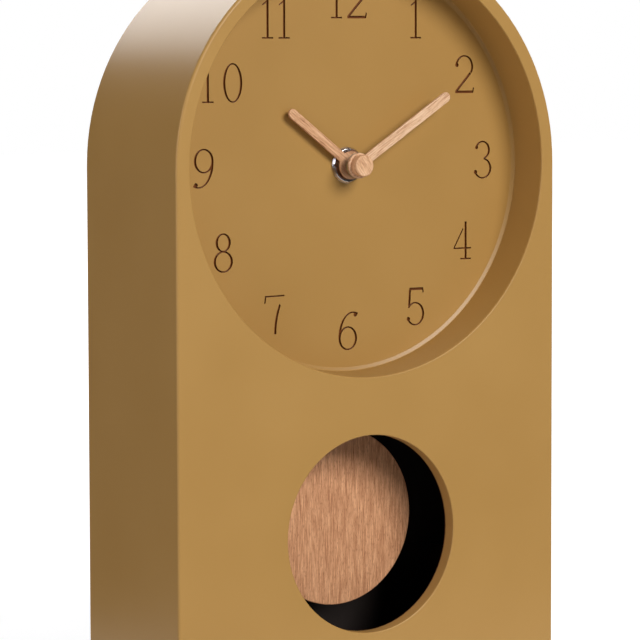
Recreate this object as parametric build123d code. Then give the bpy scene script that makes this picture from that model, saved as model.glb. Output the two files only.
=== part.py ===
from build123d import *
import os
from math import acos, atan2, ceil, cos, degrees, pi, radians, sin, sqrt, tan

# Desk clock with a pendulum, in millimetres. X runs to the right, Y runs from the front to the back,
# Z runs up. The origin lies under the middle of the clock, on the surface that it stands on.
# Depths are counted from the front face of the case towards the back.

# Case
case_width = 180.0
case_height = 300.0
case_depth = 70.0
front_thickness = 6.0
side_thickness = 4.0
base_thickness = 6.0
back_thickness = 3.0
back_inset = 2.5
back_panel_gap = 0.3
front_edge_round = 1.2
opening_edge_round = 0.5
foot_height = 1.5
foot_radius = 7.0
foot_inset = 16.0

# Round pendulum window in the front, between a sill and a lintel
window_sill = 21.75
window_lintel = 23.25

# Dial: a deep ring behind the front, and the plate with the engraved numerals
dial_rim = 6.0
dial_recess = 17.8
dial_wall_draft = 1.1
dial_floor_fillet = 1.5
dial_fillet_start = 20.0
dial_plate_thickness = 2.2
dial_gap = 0.3
dial_hole_clearance = 0.15

# Engraved numerals
numeral_height = 15.5
numeral_ring_radius = 67.0
numeral_stem = 1.05
numeral_hairline = 0.6
numeral_depth = 0.8

# Back panel opening, screw blocks and screws
access_width = 70.0
access_above_axis = 36.0
access_below_axis = 70.0
access_corner = 6.0
block_width = 14.0
block_height = 24.0
block_depth = 16.0
low_block_height = 34.0
high_block_height = 176.0
screw_radius = 1.5
screw_length = 14.0
screw_head_radius = 3.2
screw_head_height = 1.8
screw_dome_share = 0.6
screw_slot_share = 0.6
screw_slot_width = 0.7
screw_slot_depth = 0.8
thread_play = 0.05
screw_hole_clearance = 0.2

# Movement housing
gasket_thickness = 1.0
gasket_radius = 13.0
movement_width = 56.0
movement_height = 56.0
movement_depth = 16.5
movement_wall = 1.5
movement_corner = 3.0
ledge_width = 1.5
cover_thickness = 1.5
seat_play = 0.15
middle_plate_thickness = 1.2

# Threaded bush, washer and nut on the dial
bush_radius = 3.95
bush_flange_radius = 6.0
bush_flange_thickness = 0.8
nut_radius = 7.35
nut_height = 1.5
nut_rim_height = 0.5
nut_top_radius = 5.2
nut_shoulder_share = 0.25
nut_slot_width = 1.2
nut_slot_depth = 0.6
washer_radius = 6.6
washer_thickness = 0.25
washer_clearance = 0.1
bush_end_drop = 0.2

# Shaft stack, set by the depths of the front faces of what it carries
cap_front = 4.6
cap_radius = 4.25
cap_edge = 0.6
minute_hand_front = 8.6
minute_hand_thickness = 1.0
minute_hub_radius = 5.1
minute_plate_radius = 5.15
minute_plate_thickness = 0.8
minute_collar_radius = 2.3
minute_collar_length = 0.5
minute_collar_gap = 0.4
hour_hand_front = 14.2
hour_hand_thickness = 0.9
hour_hub_radius = 5.65
hour_collet_radius = 3.1
hour_tube_radius = 2.5
minute_arbor_radius = 1.5
running_fit = 0.08
push_fit = 0.02
end_play = 0.3

# Hands
minute_hand_length = 52.0
minute_hand_width = 4.1
hour_hand_length = 36.7
hour_hand_width = 3.9
hand_edge_round = 0.25
minutes_shown = 9.6
hours_shown = 10
# The hour hand was pushed on a little ahead of its true place, in degrees
hour_hand_lead = 2.2

# Gears: the same tooth form for all of them
tooth_pressure_angle = 30.0
tooth_tip_share = 0.8
tooth_root_share = 1.05
tooth_play_share = 0.14
motion_module = 0.3
motion_thickness = 1.0
motion_gap = 0.4
minute_pinion_teeth = 15
change_wheel_teeth = 45
change_pinion_teeth = 12
hour_wheel_teeth = 48
train_thickness = 0.8
train_gap = 0.7
train_start_gap = 0.6
pinion_overhang = 0.2
rotor_pinion_teeth = 8
intermediate_wheel_teeth = 48
intermediate_pinion_teeth = 8
second_wheel_teeth = 40
second_pinion_teeth = 8
third_wheel_teeth = 60
third_pinion_teeth = 8
centre_wheel_teeth = 64
rotor_module = 0.2
intermediate_module = 0.25
second_module = 0.2
third_module = 0.2
change_direction = 0.0
third_direction = 120.0
second_direction = 45.0
intermediate_direction = 0.0
rotor_direction = 60.0

# Arbors and pivots
train_arbor_radius = 0.6
pivot_radius = 0.35
pivot_length = 0.6
pivot_end_room = 0.2
change_arbor_radius = 0.8
knob_arbor_radius = 1.0
knob_arbor_length = 3.0
centre_seat_radius = 1.1
minute_tail_radius = 0.7
plate_hole_clearance = 0.2

# Setting knob
knob_radius = 5.5
knob_thickness = 3.0
knob_gap = 0.5
knob_grips = 16
knob_grip_radius = 0.45

# Motor: rotor, stator plate, coil and core
rotor_radius = 3.0
rotor_length = 2.8
rotor_gap = 0.4
stator_ring_width = 1.0
stator_thickness = 1.0
stator_half_length = 20.0
stator_band = 4.0
stator_arm_width = 4.0
stator_lift = 2.2
core_band = 2.4
core_thickness = 1.0
coil_height_over_rotor = 6.3
coil_length = 18.0
coil_center_offset = -5.0
coil_radius = 3.0
bobbin_tube_radius = 1.75
bobbin_flange_radius = 3.3
bobbin_flange_thickness = 0.8
post_radius = 1.6
post_pin_radius = 0.6

# Circuit board with its crystal and chip
board_width = 13.4
board_height = 22.0
board_thickness = 1.0
board_lift = 5.3
board_post_inset = 2.0
crystal_place_share = 0.75
crystal_radius = 1.0
crystal_length = 6.0
chip_place_share = 0.35
chip_radius = 2.5
chip_height = 0.8
chip_edge = 0.3

# Battery and contacts
battery_radius = 7.25
battery_length = 50.5
battery_nub_radius = 2.75
battery_nub_length = 1.3
battery_edge = 0.6
battery_clearance = 0.25
bay_wall = 1.2
contact_thickness = 0.4
contact_width = 6.0
contact_button_radius = 2.0
contact_air = 0.05
contact_rise = 4.0
contact_arm_reach = 16.0

# Pendulum drive box under the movement
drive_width = 40.0
drive_height = 36.0
drive_setback = 2.0
drive_corner = 2.5
drive_pin_radius = 0.75
drive_pin_drop = 5.5
drive_pin_depth = 0.8
drive_coil_drop = 15.5
drive_coil_radius = 6.5
drive_bobbin_radius = 7.0
drive_bobbin_tube = 1.6
drive_bobbin_flange = 0.6
drive_coil_room = 1.1
swing_limit = 12.0

# Rocker, magnet, hook, rod and bob
rocker_width = 5.0
rocker_thickness = 1.2
rocker_back_room = 1.8
rocker_hub_radius = 2.2
rocker_hub_length = 4.0
rocker_eye_radius = 4.0
rocker_tail = 9.0
rocker_slot_clearance = 0.6
magnet_radius = 3.5
magnet_thickness = 1.8
hook_radius = 1.2
hook_head_radius = 2.0
hook_head_thickness = 0.6
hook_end_margin = 3.0
rod_thickness = 1.0
rod_width = 4.0
rod_eye_radius = 3.4
rod_play = 0.1
bob_margin = 3.65
bob_rise = 4.1
bob_front = 26.1
bob_thickness = 5.2
bob_edge = 0.5
clip_wing = 5.9
clip_height_share = 0.83
clip_wall = 0.8
rod_tail_share = 0.6

# One overrun serves every cut
cut_over = 1.0

# Widest angle between two sides of the fan that cuts an open ring stroke, in degrees
fan_angle = 40

# Strokes of each digit, as shares of the numeral height. A ring is (x, z, half width, half height, start
# angle, end angle), a stem or a hairline is (x, z, x, z) and a ball is (x, z, radius).
digit_shares = {
    "0": [("ring", 0, 0.50, 0.285, 0.50, 0, 360)],
    "1": [("stem", 0, 0, 0, 1.0),
          ("hairline", -0.17, 0.02, 0.17, 0.02),
          ("hairline", -0.15, 0.86, 0.01, 0.975)],
    "2": [("ring", 0, 0.70, 0.29, 0.30, -38, 165),
          ("ball", -0.235, 0.74, 0.055),
          ("stem", 0.20, 0.53, -0.26, 0.05),
          ("stem", -0.29, 0.034, 0.28, 0.034),
          ("hairline", 0.275, 0.01, 0.30, 0.15)],
    "3": [("ring", -0.01, 0.76, 0.245, 0.24, -80, 155),
          ("ring", -0.01, 0.275, 0.29, 0.275, -155, 82),
          ("ball", -0.20, 0.83, 0.05),
          ("ball", -0.235, 0.18, 0.055)],
    "4": [("stem", 0.10, 0, 0.10, 1.0),
          ("hairline", -0.07, 0.02, 0.27, 0.02),
          ("hairline", 0.02, 0.82, -0.28, 0.30),
          ("hairline", -0.29, 0.30, 0.28, 0.30)],
    "5": [("stem", -0.20, 0.966, 0.22, 0.966),
          ("hairline", 0.215, 0.995, 0.24, 0.86),
          ("stem", -0.18, 0.97, -0.21, 0.52),
          ("ring", -0.02, 0.31, 0.29, 0.31, -152, 142),
          ("ball", -0.235, 0.18, 0.055)],
    "6": [("ring", 0, 0.31, 0.29, 0.31, 0, 360),
          ("ring", 0.16, 0.33, 0.45, 0.67, 76, 181),
          ("ball", 0.235, 0.915, 0.055)],
    "7": [("hairline", -0.27, 0.975, 0.30, 0.985),
          ("hairline", -0.265, 0.995, -0.29, 0.80),
          ("ring", 0.805, 0, 0.82, 1.30, 130, 180)],
    "8": [("ring", 0, 0.76, 0.225, 0.24, 0, 360),
          ("ring", 0, 0.275, 0.285, 0.275, 0, 360)],
    "9": [("ring", 0, 0.69, 0.29, 0.31, 0, 360),
          ("ring", -0.16, 0.67, 0.45, 0.67, -104, 1),
          ("ball", -0.235, 0.085, 0.055)],
}

# Middle of each numeral, as shares of the numeral ring's radius
numeral_place_shares = {
    "1": (0.50, 0.87), "2": (0.860, 0.537), "3": (1.0, 0.012), "4": (0.848, -0.480), "5": (0.50, -0.870),
    "6": (0.004, -0.996), "7": (-0.516, -0.876), "8": (-0.870, -0.497), "9": (-1.0, 0.0),
    "10": (-0.885, 0.497), "11": (-0.50, 0.87), "12": (0.0, 0.99),
}

# Distance between the two digits of a numeral, as shares of its height
digit_pitch_shares = {"10": 0.735, "11": 0.50, "12": 0.62}

# Places worked out from the values above
arch_radius = case_width / 2
dial_height = case_height - arch_radius
dial_opening_radius = arch_radius - dial_rim
surround_inner_radius = arch_radius - side_thickness
window_low = foot_height + window_sill
window_high = dial_height - dial_opening_radius - window_lintel
window_radius = (window_high - window_low) / 2
window_center_height = (window_high + window_low) / 2
back_outer = case_depth - back_inset
back_inner = back_outer - back_thickness
dial_floor = dial_recess
dial_back = dial_floor + dial_plate_thickness
dial_radius = surround_inner_radius - dial_gap
movement_front = dial_back + gasket_thickness
movement_back = movement_front + movement_depth
movement_inner_front = movement_front + movement_wall
cover_front = movement_back - cover_thickness
nut_front = dial_floor - nut_height
nut_back = dial_floor - washer_thickness
bush_front = nut_front + bush_end_drop
bush_bore = hour_tube_radius + running_fit
minute_plate_front = minute_hand_front + minute_hand_thickness
minute_plate_back = minute_plate_front + minute_plate_thickness
minute_collar_back = minute_plate_back + minute_collar_length
hour_tube_front = minute_collar_back + minute_collar_gap
hour_hand_back = hour_hand_front + hour_hand_thickness
hour_wheel_front = movement_inner_front + bush_flange_thickness + end_play
hour_wheel_back = hour_wheel_front + motion_thickness
change_wheel_front = hour_wheel_back + motion_gap
change_wheel_back = change_wheel_front + motion_thickness
plate_front = change_wheel_back + motion_gap
plate_back = plate_front + middle_plate_thickness
layer_step = train_thickness + train_gap
centre_wheel_front = plate_back + train_start_gap
third_wheel_front = centre_wheel_front + layer_step
second_wheel_front = third_wheel_front + layer_step
intermediate_wheel_front = second_wheel_front + layer_step
rotor_pinion_back = intermediate_wheel_front + train_thickness + pinion_overhang
knob_front = movement_back + knob_gap
knob_back = knob_front + knob_thickness

bay_low = -movement_height / 2 + movement_wall
battery_z = bay_low + battery_clearance + battery_radius
bay_high = battery_z + battery_radius + battery_clearance
works_low = bay_high + bay_wall
works_high = movement_height / 2 - movement_wall
works_half_width = movement_width / 2 - movement_wall
battery_depth = movement_inner_front + battery_clearance + battery_radius

minute_angle = minutes_shown * 360 / 60
hour_angle = (hours_shown + minutes_shown / 60) * 360 / 12 + hour_hand_lead

drive_top = -movement_height / 2
drive_low = drive_top - drive_height
drive_front = movement_front + drive_setback
drive_inner_front = drive_front + movement_wall
drive_cover_front = movement_back - cover_thickness
drive_pin_z = drive_top - drive_pin_drop
drive_coil_z = drive_pin_z - drive_coil_drop
rocker_back = drive_cover_front - rocker_back_room
rocker_front = rocker_back - rocker_thickness
rocker_low = drive_low - rocker_tail
hook_z = rocker_low + hook_end_margin
rod_back = rocker_front - rod_play
rod_front = rod_back - rod_thickness
bob_back = bob_front + bob_thickness
bob_radius = window_radius - bob_margin
bob_z = window_center_height + bob_rise - dial_height
clip_back = rod_back + rod_play + clip_wall


def row_y(depth):
    """Turn a depth from the front face into a place along Y."""
    return depth - case_depth / 2


def slab(face, front, back):
    """Give an outline, drawn as seen from the front, its thickness between two depths."""
    plane = Plane(origin=(0, row_y(back), 0), x_dir=(1, 0, 0), z_dir=(0, -1, 0))
    return extrude(plane * face, amount=back - front)


def turned(profile, x=0, z=0):
    """Turn a closed profile of (depth, radius) points round an axis along Y, beside the dial's axis."""
    points = [(radius, row_y(depth)) for depth, radius in profile]
    face = make_face(Polyline(*points, close=True))
    return Pos(x, 0, dial_height + z) * revolve(face, Axis.Y, 360)


def tube(front, back, outer, bore, x=0, z=0):
    """A plain ring or sleeve along Y."""
    return turned([(front, bore), (front, outer), (back, outer), (back, bore)], x, z)


def peg(x, z, radius, front, back):
    """A round pin along Y, placed from the dial's axis."""
    return slab(Pos(x, dial_height + z) * Circle(radius), front, back)


def block(left, right, low, high, front, back):
    """A straight block, placed from the dial's axis."""
    middle = Pos((left + right) / 2, dial_height + (low + high) / 2)
    return slab(middle * Rectangle(right - left, high - low), front, back)


def arch_outline(half_width, low):
    """A straight-sided outline with a round top, from a low edge up to the dial's arch."""
    straight = dial_height - low
    legs = Pos(0, low + straight / 2) * Rectangle(2 * half_width, straight)
    return legs + Pos(0, dial_height) * Circle(half_width)


def cone_hole(front, back, front_radius, back_radius, height):
    """A round hole along Y whose wall leans in evenly."""
    slope = (back_radius - front_radius) / (back - front)
    near = front - cut_over
    far = back + cut_over
    near_radius = front_radius - slope * cut_over
    far_radius = back_radius + slope * cut_over
    profile = [(near, 0), (near, near_radius), (far, far_radius), (far, 0)]
    return turned(profile, 0, height - dial_height)


def recess_radius(depth):
    """Radius of the dial recess at a depth: it narrows evenly from the front face to the floor."""
    return dial_opening_radius - dial_wall_draft * depth / dial_recess


# Case pieces

def front_edges(solid, radius):
    """The edge of a round opening in the front face."""
    edges = solid.edges().filter_by(GeomType.CIRCLE)
    return edges.filter_by(lambda e: abs(e.radius - radius) < opening_edge_round).group_by(Axis.Y)[0]


def front_panel():
    """The front board, with the dial opening and the pendulum window."""
    board = slab(arch_outline(arch_radius, foot_height), 0, front_thickness)
    board = fillet(board.faces().sort_by(Axis.Y)[0].outer_wire().edges(), front_edge_round)
    back_radius = recess_radius(front_thickness)
    dial_hole = cone_hole(0, front_thickness, dial_opening_radius, back_radius, dial_height)
    window = cone_hole(0, front_thickness, window_radius, window_radius, window_center_height)
    board = board - dial_hole - window
    rims = front_edges(board, dial_opening_radius) + front_edges(board, window_radius)
    return fillet(rims, opening_edge_round)


def arch_surround():
    """One bent board that makes both sides and the arched top."""
    outer = arch_outline(arch_radius, foot_height)
    inner = arch_outline(surround_inner_radius, foot_height - cut_over)
    return slab(outer - inner, front_thickness, case_depth)


def base_panel():
    """The bottom board, between the sides and in front of the back panel."""
    low = foot_height - dial_height
    high = low + base_thickness
    return block(-surround_inner_radius, surround_inner_radius, low, high, front_thickness, back_inner)


def feet():
    """Four soft pads under the base."""
    side = case_width / 2 - foot_inset
    pads = []
    for x in (-side, side):
        for depth in (foot_inset, back_outer - foot_inset):
            pad = Pos(x, row_y(depth), foot_height / 2) * Cylinder(foot_radius, foot_height)
            pads.append(pad)
    return Compound(children=pads)


def screw_places():
    """Where the back panel is screwed: two places on each side and one at the top of the arch."""
    side = surround_inner_radius - block_width / 2
    heights = (low_block_height, high_block_height)
    places = [(x, height - dial_height) for x in (-side, side) for height in heights]
    return places + [(0, surround_inner_radius - block_height / 2)]


def screw_blocks():
    """Wooden blocks glued inside the surround, which the back panel is screwed to."""
    room = slab(arch_outline(surround_inner_radius, foot_height), front_thickness, back_inner)
    blocks = []
    for x, z in screw_places():
        wide = block_width / 2
        tall = block_height / 2
        piece = block(x - wide, x + wide, z - tall, z + tall, back_inner - block_depth, back_inner)
        hole = peg(x, z, screw_radius + thread_play, back_outer - screw_length - thread_play, back_outer)
        blocks.append((piece & room) - hole)
    return Compound(children=blocks)


def back_panel():
    """The thin black back, with the opening that reaches the battery and the setting knob."""
    panel = slab(arch_outline(surround_inner_radius - back_panel_gap, foot_height), back_inner, back_outer)
    high = dial_height + access_above_axis
    low = dial_height - access_below_axis
    opening = Pos(0, (high + low) / 2) * RectangleRounded(access_width, high - low, access_corner)
    panel = panel - slab(opening, back_inner - cut_over, back_outer + cut_over)
    for x, z in screw_places():
        hole_radius = screw_radius + screw_hole_clearance
        panel = panel - peg(x, z, hole_radius, back_inner - cut_over, back_outer + cut_over)
    return panel


def back_screws():
    """Round-headed screws that hold the back panel on the blocks."""
    screws = []
    head_back = back_outer + screw_head_height
    slot_front = head_back - screw_slot_depth
    tip = back_outer - screw_length
    profile = [(tip, 0), (tip + screw_radius, screw_radius), (back_outer, screw_radius),
               (back_outer, screw_head_radius), (slot_front, screw_head_radius),
               (head_back, screw_head_radius * screw_dome_share), (head_back, 0)]
    reach = screw_head_radius * screw_slot_share
    half = screw_slot_width / 2
    for x, z in screw_places():
        screw = turned(profile, x, z)
        for wide, tall in ((reach, half), (half, reach)):
            screw = screw - block(x - wide, x + wide, z - tall, z + tall, slot_front, head_back + cut_over)
        screws.append(screw)
    return Compound(children=screws)


# Dial

def ring_stroke(x, z, half_width, half_height, start, end):
    """A round stroke, thick at its sides and thin at its top and bottom."""
    outer = Ellipse(half_width, half_height)
    inner = Ellipse(half_width - numeral_stem, half_height - numeral_hairline)
    ring = outer - inner
    if end - start < 360:
        steps = ceil((end - start) / fan_angle)
        reach = 2 * max(half_width, half_height)
        fan = [(0, 0)]
        for i in range(steps + 1):
            angle = radians(start + (end - start) * i / steps)
            fan.append((reach * cos(angle), reach * sin(angle)))
        ring = ring & make_face(Polyline(*fan, close=True))
    return Pos(x, z) * ring


def straight_stroke(x0, z0, x1, z1, width):
    """A straight stroke between two points."""
    length = sqrt((x1 - x0) ** 2 + (z1 - z0) ** 2)
    turn = degrees(atan2(z1 - z0, x1 - x0))
    return Pos((x0 + x1) / 2, (z0 + z1) / 2) * Rot(0, 0, turn) * Rectangle(length, width)


def digit_face(digit):
    """The outline of one digit, standing on z = 0 with its middle at x = 0."""
    face = Sketch()
    for kind, *shares in digit_shares[digit]:
        if kind == "ring":
            sizes = [share * numeral_height for share in shares[:4]]
            face = face + ring_stroke(*sizes, *shares[4:])
        elif kind == "ball":
            x, z, radius = [share * numeral_height for share in shares]
            face = face + Pos(x, z) * Circle(radius)
        else:
            width = numeral_stem if kind == "stem" else numeral_hairline
            ends = [share * numeral_height for share in shares]
            face = face + straight_stroke(*ends, width)
    return face


def numeral_cutters():
    """The engraved numerals, as the solids that are cut out of the dial's floor."""
    cutters = []
    for numeral, (x_share, z_share) in numeral_place_shares.items():
        x = x_share * numeral_ring_radius
        low = dial_height + z_share * numeral_ring_radius - numeral_height / 2
        pitch = digit_pitch_shares.get(numeral, 0) * numeral_height
        for i, digit in enumerate(numeral):
            place = x + (i - (len(numeral) - 1) / 2) * pitch
            face = Pos(place, low) * digit_face(digit)
            cutters.append(slab(face, dial_floor - numeral_depth, dial_floor + numeral_depth))
    return cutters


def dial_ring():
    """The deep painted ring behind the front panel's opening, with a small fillet at its foot."""
    center_depth = dial_floor - dial_floor_fillet
    wall_radius = recess_radius(center_depth)
    corner = []
    for angle in (dial_fillet_start, (dial_fillet_start + 90) / 2, 90):
        depth = center_depth + dial_floor_fillet * cos(radians(angle))
        radius = wall_radius - dial_floor_fillet + dial_floor_fillet * sin(radians(angle))
        corner.append((radius, row_y(depth)))
    toe, middle, top = corner
    front = row_y(front_thickness)
    back = row_y(dial_floor)
    sides = Polyline(top, (recess_radius(front_thickness), front), (dial_radius, front), (dial_radius, back),
                     (toe[0], back), toe)
    face = make_face(sides.edges() + ThreePointArc(toe, middle, top).edges())
    return Pos(0, 0, dial_height) * revolve(face, Axis.Y, 360)


def dial_plate():
    """The flat dial behind the ring, with its numerals engraved."""
    plate = peg(0, 0, dial_radius, dial_floor, dial_back)
    plate = plate - peg(0, 0, bush_radius + dial_hole_clearance, dial_floor - cut_over, dial_back + cut_over)
    for cutter in numeral_cutters():
        plate = plate - cutter
    return plate


def dial_gasket():
    """The soft ring between the dial and the movement."""
    return tube(dial_back, movement_front, gasket_radius, bush_radius + dial_hole_clearance)


def dial_washer():
    """The thin steel washer under the nut."""
    return tube(nut_back, dial_floor, washer_radius, bush_radius + washer_clearance)


def dial_nut():
    """The polished round nut that holds the movement on the dial."""
    bore = bush_radius + thread_play
    rim_front = nut_back - nut_rim_height
    shoulder = (nut_radius + nut_top_radius) / 2
    shoulder_front = nut_front + (rim_front - nut_front) * nut_shoulder_share
    nut = turned([(nut_back, bore), (nut_back, nut_radius), (rim_front, nut_radius),
                  (shoulder_front, shoulder), (nut_front, nut_top_radius), (nut_front, bore)])
    half = nut_slot_width / 2
    slot = block(-half, half, -nut_radius, nut_radius, nut_front - cut_over, nut_front + nut_slot_depth)
    return nut - slot


# Gears

def involute(angle):
    """How far an involute has turned where its pressure angle has this value."""
    return tan(angle) - angle


def pitch_radius(teeth, module):
    return teeth * module / 2


def gear_face(teeth, module, phase):
    """A gear's outline, with the middle of one tooth at the phase angle, in degrees from +X."""
    pitch = pitch_radius(teeth, module)
    pressure = radians(tooth_pressure_angle)
    base = pitch * cos(pressure)
    radii = (pitch - tooth_root_share * module, pitch, pitch + tooth_tip_share * module)
    half_at_pitch = pi / (2 * teeth) - tooth_play_share * module / (2 * pitch)
    halves = []
    for radius in radii:
        lean = acos(min(1, base / radius))
        halves.append(half_at_pitch + involute(pressure) - involute(lean))
    points = []
    for i in range(teeth):
        middle = radians(phase) + 2 * pi * i / teeth
        for radius, half in zip(radii, halves):
            points.append((radius * cos(middle - half), radius * sin(middle - half)))
        for radius, half in zip(reversed(radii), reversed(halves)):
            points.append((radius * cos(middle + half), radius * sin(middle + half)))
    return make_face(Polyline(*points, close=True))


def gear(place, teeth, module, phase, front, back):
    """A gear between two depths, round a place given from the dial's axis."""
    x, z = place
    return slab(Pos(x, dial_height + z) * gear_face(teeth, module, phase), front, back)


def meshed_place(start, distance, direction):
    """The centre of a gear that meshes with one at start."""
    x, z = start
    return (x + distance * cos(radians(direction)), z + distance * sin(radians(direction)))


def meshed_phase(direction, phase, teeth, meshed_teeth):
    """Phase of a gear that puts a gap of it against a tooth of its neighbour."""
    tooth_at_line = (direction - phase) * teeth / 360
    return direction + 180 - (0.5 - tooth_at_line) * 360 / meshed_teeth


def mesh_distance(teeth, meshed_teeth, module):
    return pitch_radius(teeth + meshed_teeth, module)


def arbor(place, front, back, radius):
    """A round arbor with a thinner pivot at each end, between the faces of its two bearings."""
    shoulder_front = front + end_play / 2
    shoulder_back = back - end_play / 2
    profile = [(front - pivot_length, 0), (front - pivot_length, pivot_radius),
               (shoulder_front, pivot_radius), (shoulder_front, radius), (shoulder_back, radius),
               (shoulder_back, pivot_radius), (back + pivot_length, pivot_radius), (back + pivot_length, 0)]
    return turned(profile, *place)


def pivot_hole(place, front, back):
    """The blind hole that a pivot runs in."""
    return peg(*place, pivot_radius + running_fit, front, back)


axis_place = (0, 0)
change_distance = mesh_distance(minute_pinion_teeth, change_wheel_teeth, motion_module)
change_place = meshed_place(axis_place, change_distance, change_direction)
third_distance = mesh_distance(centre_wheel_teeth, third_pinion_teeth, third_module)
third_place = meshed_place(axis_place, third_distance, third_direction)
second_distance = mesh_distance(third_wheel_teeth, second_pinion_teeth, second_module)
second_place = meshed_place(third_place, second_distance, second_direction)
intermediate_distance = mesh_distance(second_wheel_teeth, intermediate_pinion_teeth, intermediate_module)
intermediate_place = meshed_place(second_place, intermediate_distance, intermediate_direction)
rotor_distance = mesh_distance(intermediate_wheel_teeth, rotor_pinion_teeth, rotor_module)
rotor_place = meshed_place(intermediate_place, rotor_distance, rotor_direction)

minute_phase = 0
change_wheel_phase = meshed_phase(change_direction, minute_phase, minute_pinion_teeth, change_wheel_teeth)
change_pinion_phase = 0
hour_phase = meshed_phase(change_direction + 180, change_pinion_phase, change_pinion_teeth, hour_wheel_teeth)
centre_phase = 0
third_pinion_phase = meshed_phase(third_direction, centre_phase, centre_wheel_teeth, third_pinion_teeth)
third_wheel_phase = 0
second_pinion_phase = meshed_phase(
    second_direction, third_wheel_phase, third_wheel_teeth, second_pinion_teeth)
second_wheel_phase = 0
intermediate_pinion_phase = meshed_phase(
    intermediate_direction, second_wheel_phase, second_wheel_teeth, intermediate_pinion_teeth)
intermediate_wheel_phase = 0
rotor_phase = meshed_phase(
    rotor_direction, intermediate_wheel_phase, intermediate_wheel_teeth, rotor_pinion_teeth)


def train_wheel(place, wheel, pinion, wheel_front, pinion_front):
    """A wheel and its pinion on one arbor between the middle plate and the cover."""
    wheel_back = wheel_front + train_thickness
    piece = gear(place, *wheel, wheel_front, wheel_back)
    piece = piece + gear(place, *pinion, pinion_front - pinion_overhang, wheel_front)
    return piece + arbor(place, plate_back, cover_front, train_arbor_radius)


def third_wheel():
    wheel = (third_wheel_teeth, second_module, third_wheel_phase)
    pinion = (third_pinion_teeth, third_module, third_pinion_phase)
    return train_wheel(third_place, wheel, pinion, third_wheel_front, centre_wheel_front)


def second_wheel():
    wheel = (second_wheel_teeth, intermediate_module, second_wheel_phase)
    pinion = (second_pinion_teeth, second_module, second_pinion_phase)
    return train_wheel(second_place, wheel, pinion, second_wheel_front, third_wheel_front)


def intermediate_wheel():
    wheel = (intermediate_wheel_teeth, rotor_module, intermediate_wheel_phase)
    pinion = (intermediate_pinion_teeth, intermediate_module, intermediate_pinion_phase)
    return train_wheel(intermediate_place, wheel, pinion, intermediate_wheel_front, second_wheel_front)


def rotor():
    """The magnet of the motor on its arbor, with the pinion that drives the train."""
    pinion_front = intermediate_wheel_front - pinion_overhang
    magnet_back = stator_front + (stator_thickness + rotor_length) / 2
    magnet = peg(*rotor_place, rotor_radius, magnet_back - rotor_length, magnet_back)
    sleeve = peg(*rotor_place, train_arbor_radius, plate_back + end_play, pinion_front)
    pinion = gear(rotor_place, rotor_pinion_teeth, rotor_module, rotor_phase, pinion_front, rotor_pinion_back)
    return magnet + sleeve + pinion + arbor(rotor_place, plate_back, cover_front, train_arbor_radius)


def centre_wheel():
    """The last wheel of the train, which turns the minute arbor through a friction fit."""
    back = centre_wheel_front + train_thickness
    wheel = gear(axis_place, centre_wheel_teeth, third_module, centre_phase, centre_wheel_front, back)
    return wheel - peg(0, 0, centre_seat_radius + running_fit, centre_wheel_front - cut_over, back + cut_over)


def minute_arbor():
    """The arbor that carries the minute hand, with the pinion of the motion work."""
    tip = minute_hand_front + push_fit
    pinion_back = change_wheel_back + pinion_overhang
    seat_back = centre_wheel_front + train_thickness + end_play / 2
    shoulder_back = cover_front - end_play / 2
    profile = [(tip, 0), (tip, minute_arbor_radius), (pinion_back, minute_arbor_radius),
               (pinion_back, centre_seat_radius), (seat_back, centre_seat_radius),
               (seat_back, minute_tail_radius), (shoulder_back, minute_tail_radius),
               (shoulder_back, pivot_radius), (cover_front + pivot_length, pivot_radius),
               (cover_front + pivot_length, 0)]
    pinion = gear(axis_place, minute_pinion_teeth, motion_module, minute_phase,
                  change_wheel_front - pinion_overhang, pinion_back)
    return turned(profile) + pinion


def change_wheel():
    """The wheel and pinion between the minute arbor and the hour wheel, on the setting knob's arbor."""
    x, z = change_place
    knob_seat = movement_back + knob_arbor_length
    profile = [(movement_inner_front - pivot_length, 0), (movement_inner_front - pivot_length, pivot_radius),
               (movement_inner_front + end_play / 2, pivot_radius),
               (movement_inner_front + end_play / 2, change_arbor_radius),
               (plate_back, change_arbor_radius), (plate_back, knob_arbor_radius),
               (knob_seat, knob_arbor_radius), (knob_seat, 0)]
    wheel = gear(change_place, change_wheel_teeth, motion_module, change_wheel_phase,
                 change_wheel_front, change_wheel_back)
    pinion = gear(change_place, change_pinion_teeth, motion_module, change_pinion_phase,
                  hour_wheel_front - pinion_overhang, change_wheel_front)
    return turned(profile, x, z) + wheel + pinion


def hour_wheel():
    """The hour wheel with the tube that carries the hour hand."""
    wheel = gear(axis_place, hour_wheel_teeth, motion_module, hour_phase, hour_wheel_front, hour_wheel_back)
    sleeve = peg(0, 0, hour_tube_radius, hour_tube_front, hour_wheel_front + end_play)
    bore_radius = minute_arbor_radius + running_fit
    bore = peg(0, 0, bore_radius, hour_tube_front - cut_over, hour_wheel_back + cut_over)
    return wheel + sleeve - bore


def setting_knob():
    """The ribbed knob at the back that sets the hands."""
    x, z = change_place
    knob = peg(x, z, knob_radius, knob_front, knob_back)
    knob = fillet(knob.edges().filter_by(GeomType.CIRCLE).group_by(Axis.Y)[-1], knob_grip_radius)
    for i in range(knob_grips):
        angle = 2 * pi * i / knob_grips
        groove_x = x + knob_radius * cos(angle)
        groove_z = z + knob_radius * sin(angle)
        knob = knob - peg(groove_x, groove_z, knob_grip_radius, knob_front - cut_over, knob_back + cut_over)
    bore_back = movement_back + knob_arbor_length + push_fit
    return knob - peg(x, z, knob_arbor_radius + push_fit, knob_front - cut_over, bore_back)


# Movement housing

def body_outline(width, low, high, corner):
    """A rounded rectangle, placed from the dial's axis."""
    return Pos(0, dial_height + (low + high) / 2) * RectangleRounded(width, high - low, corner)


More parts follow.
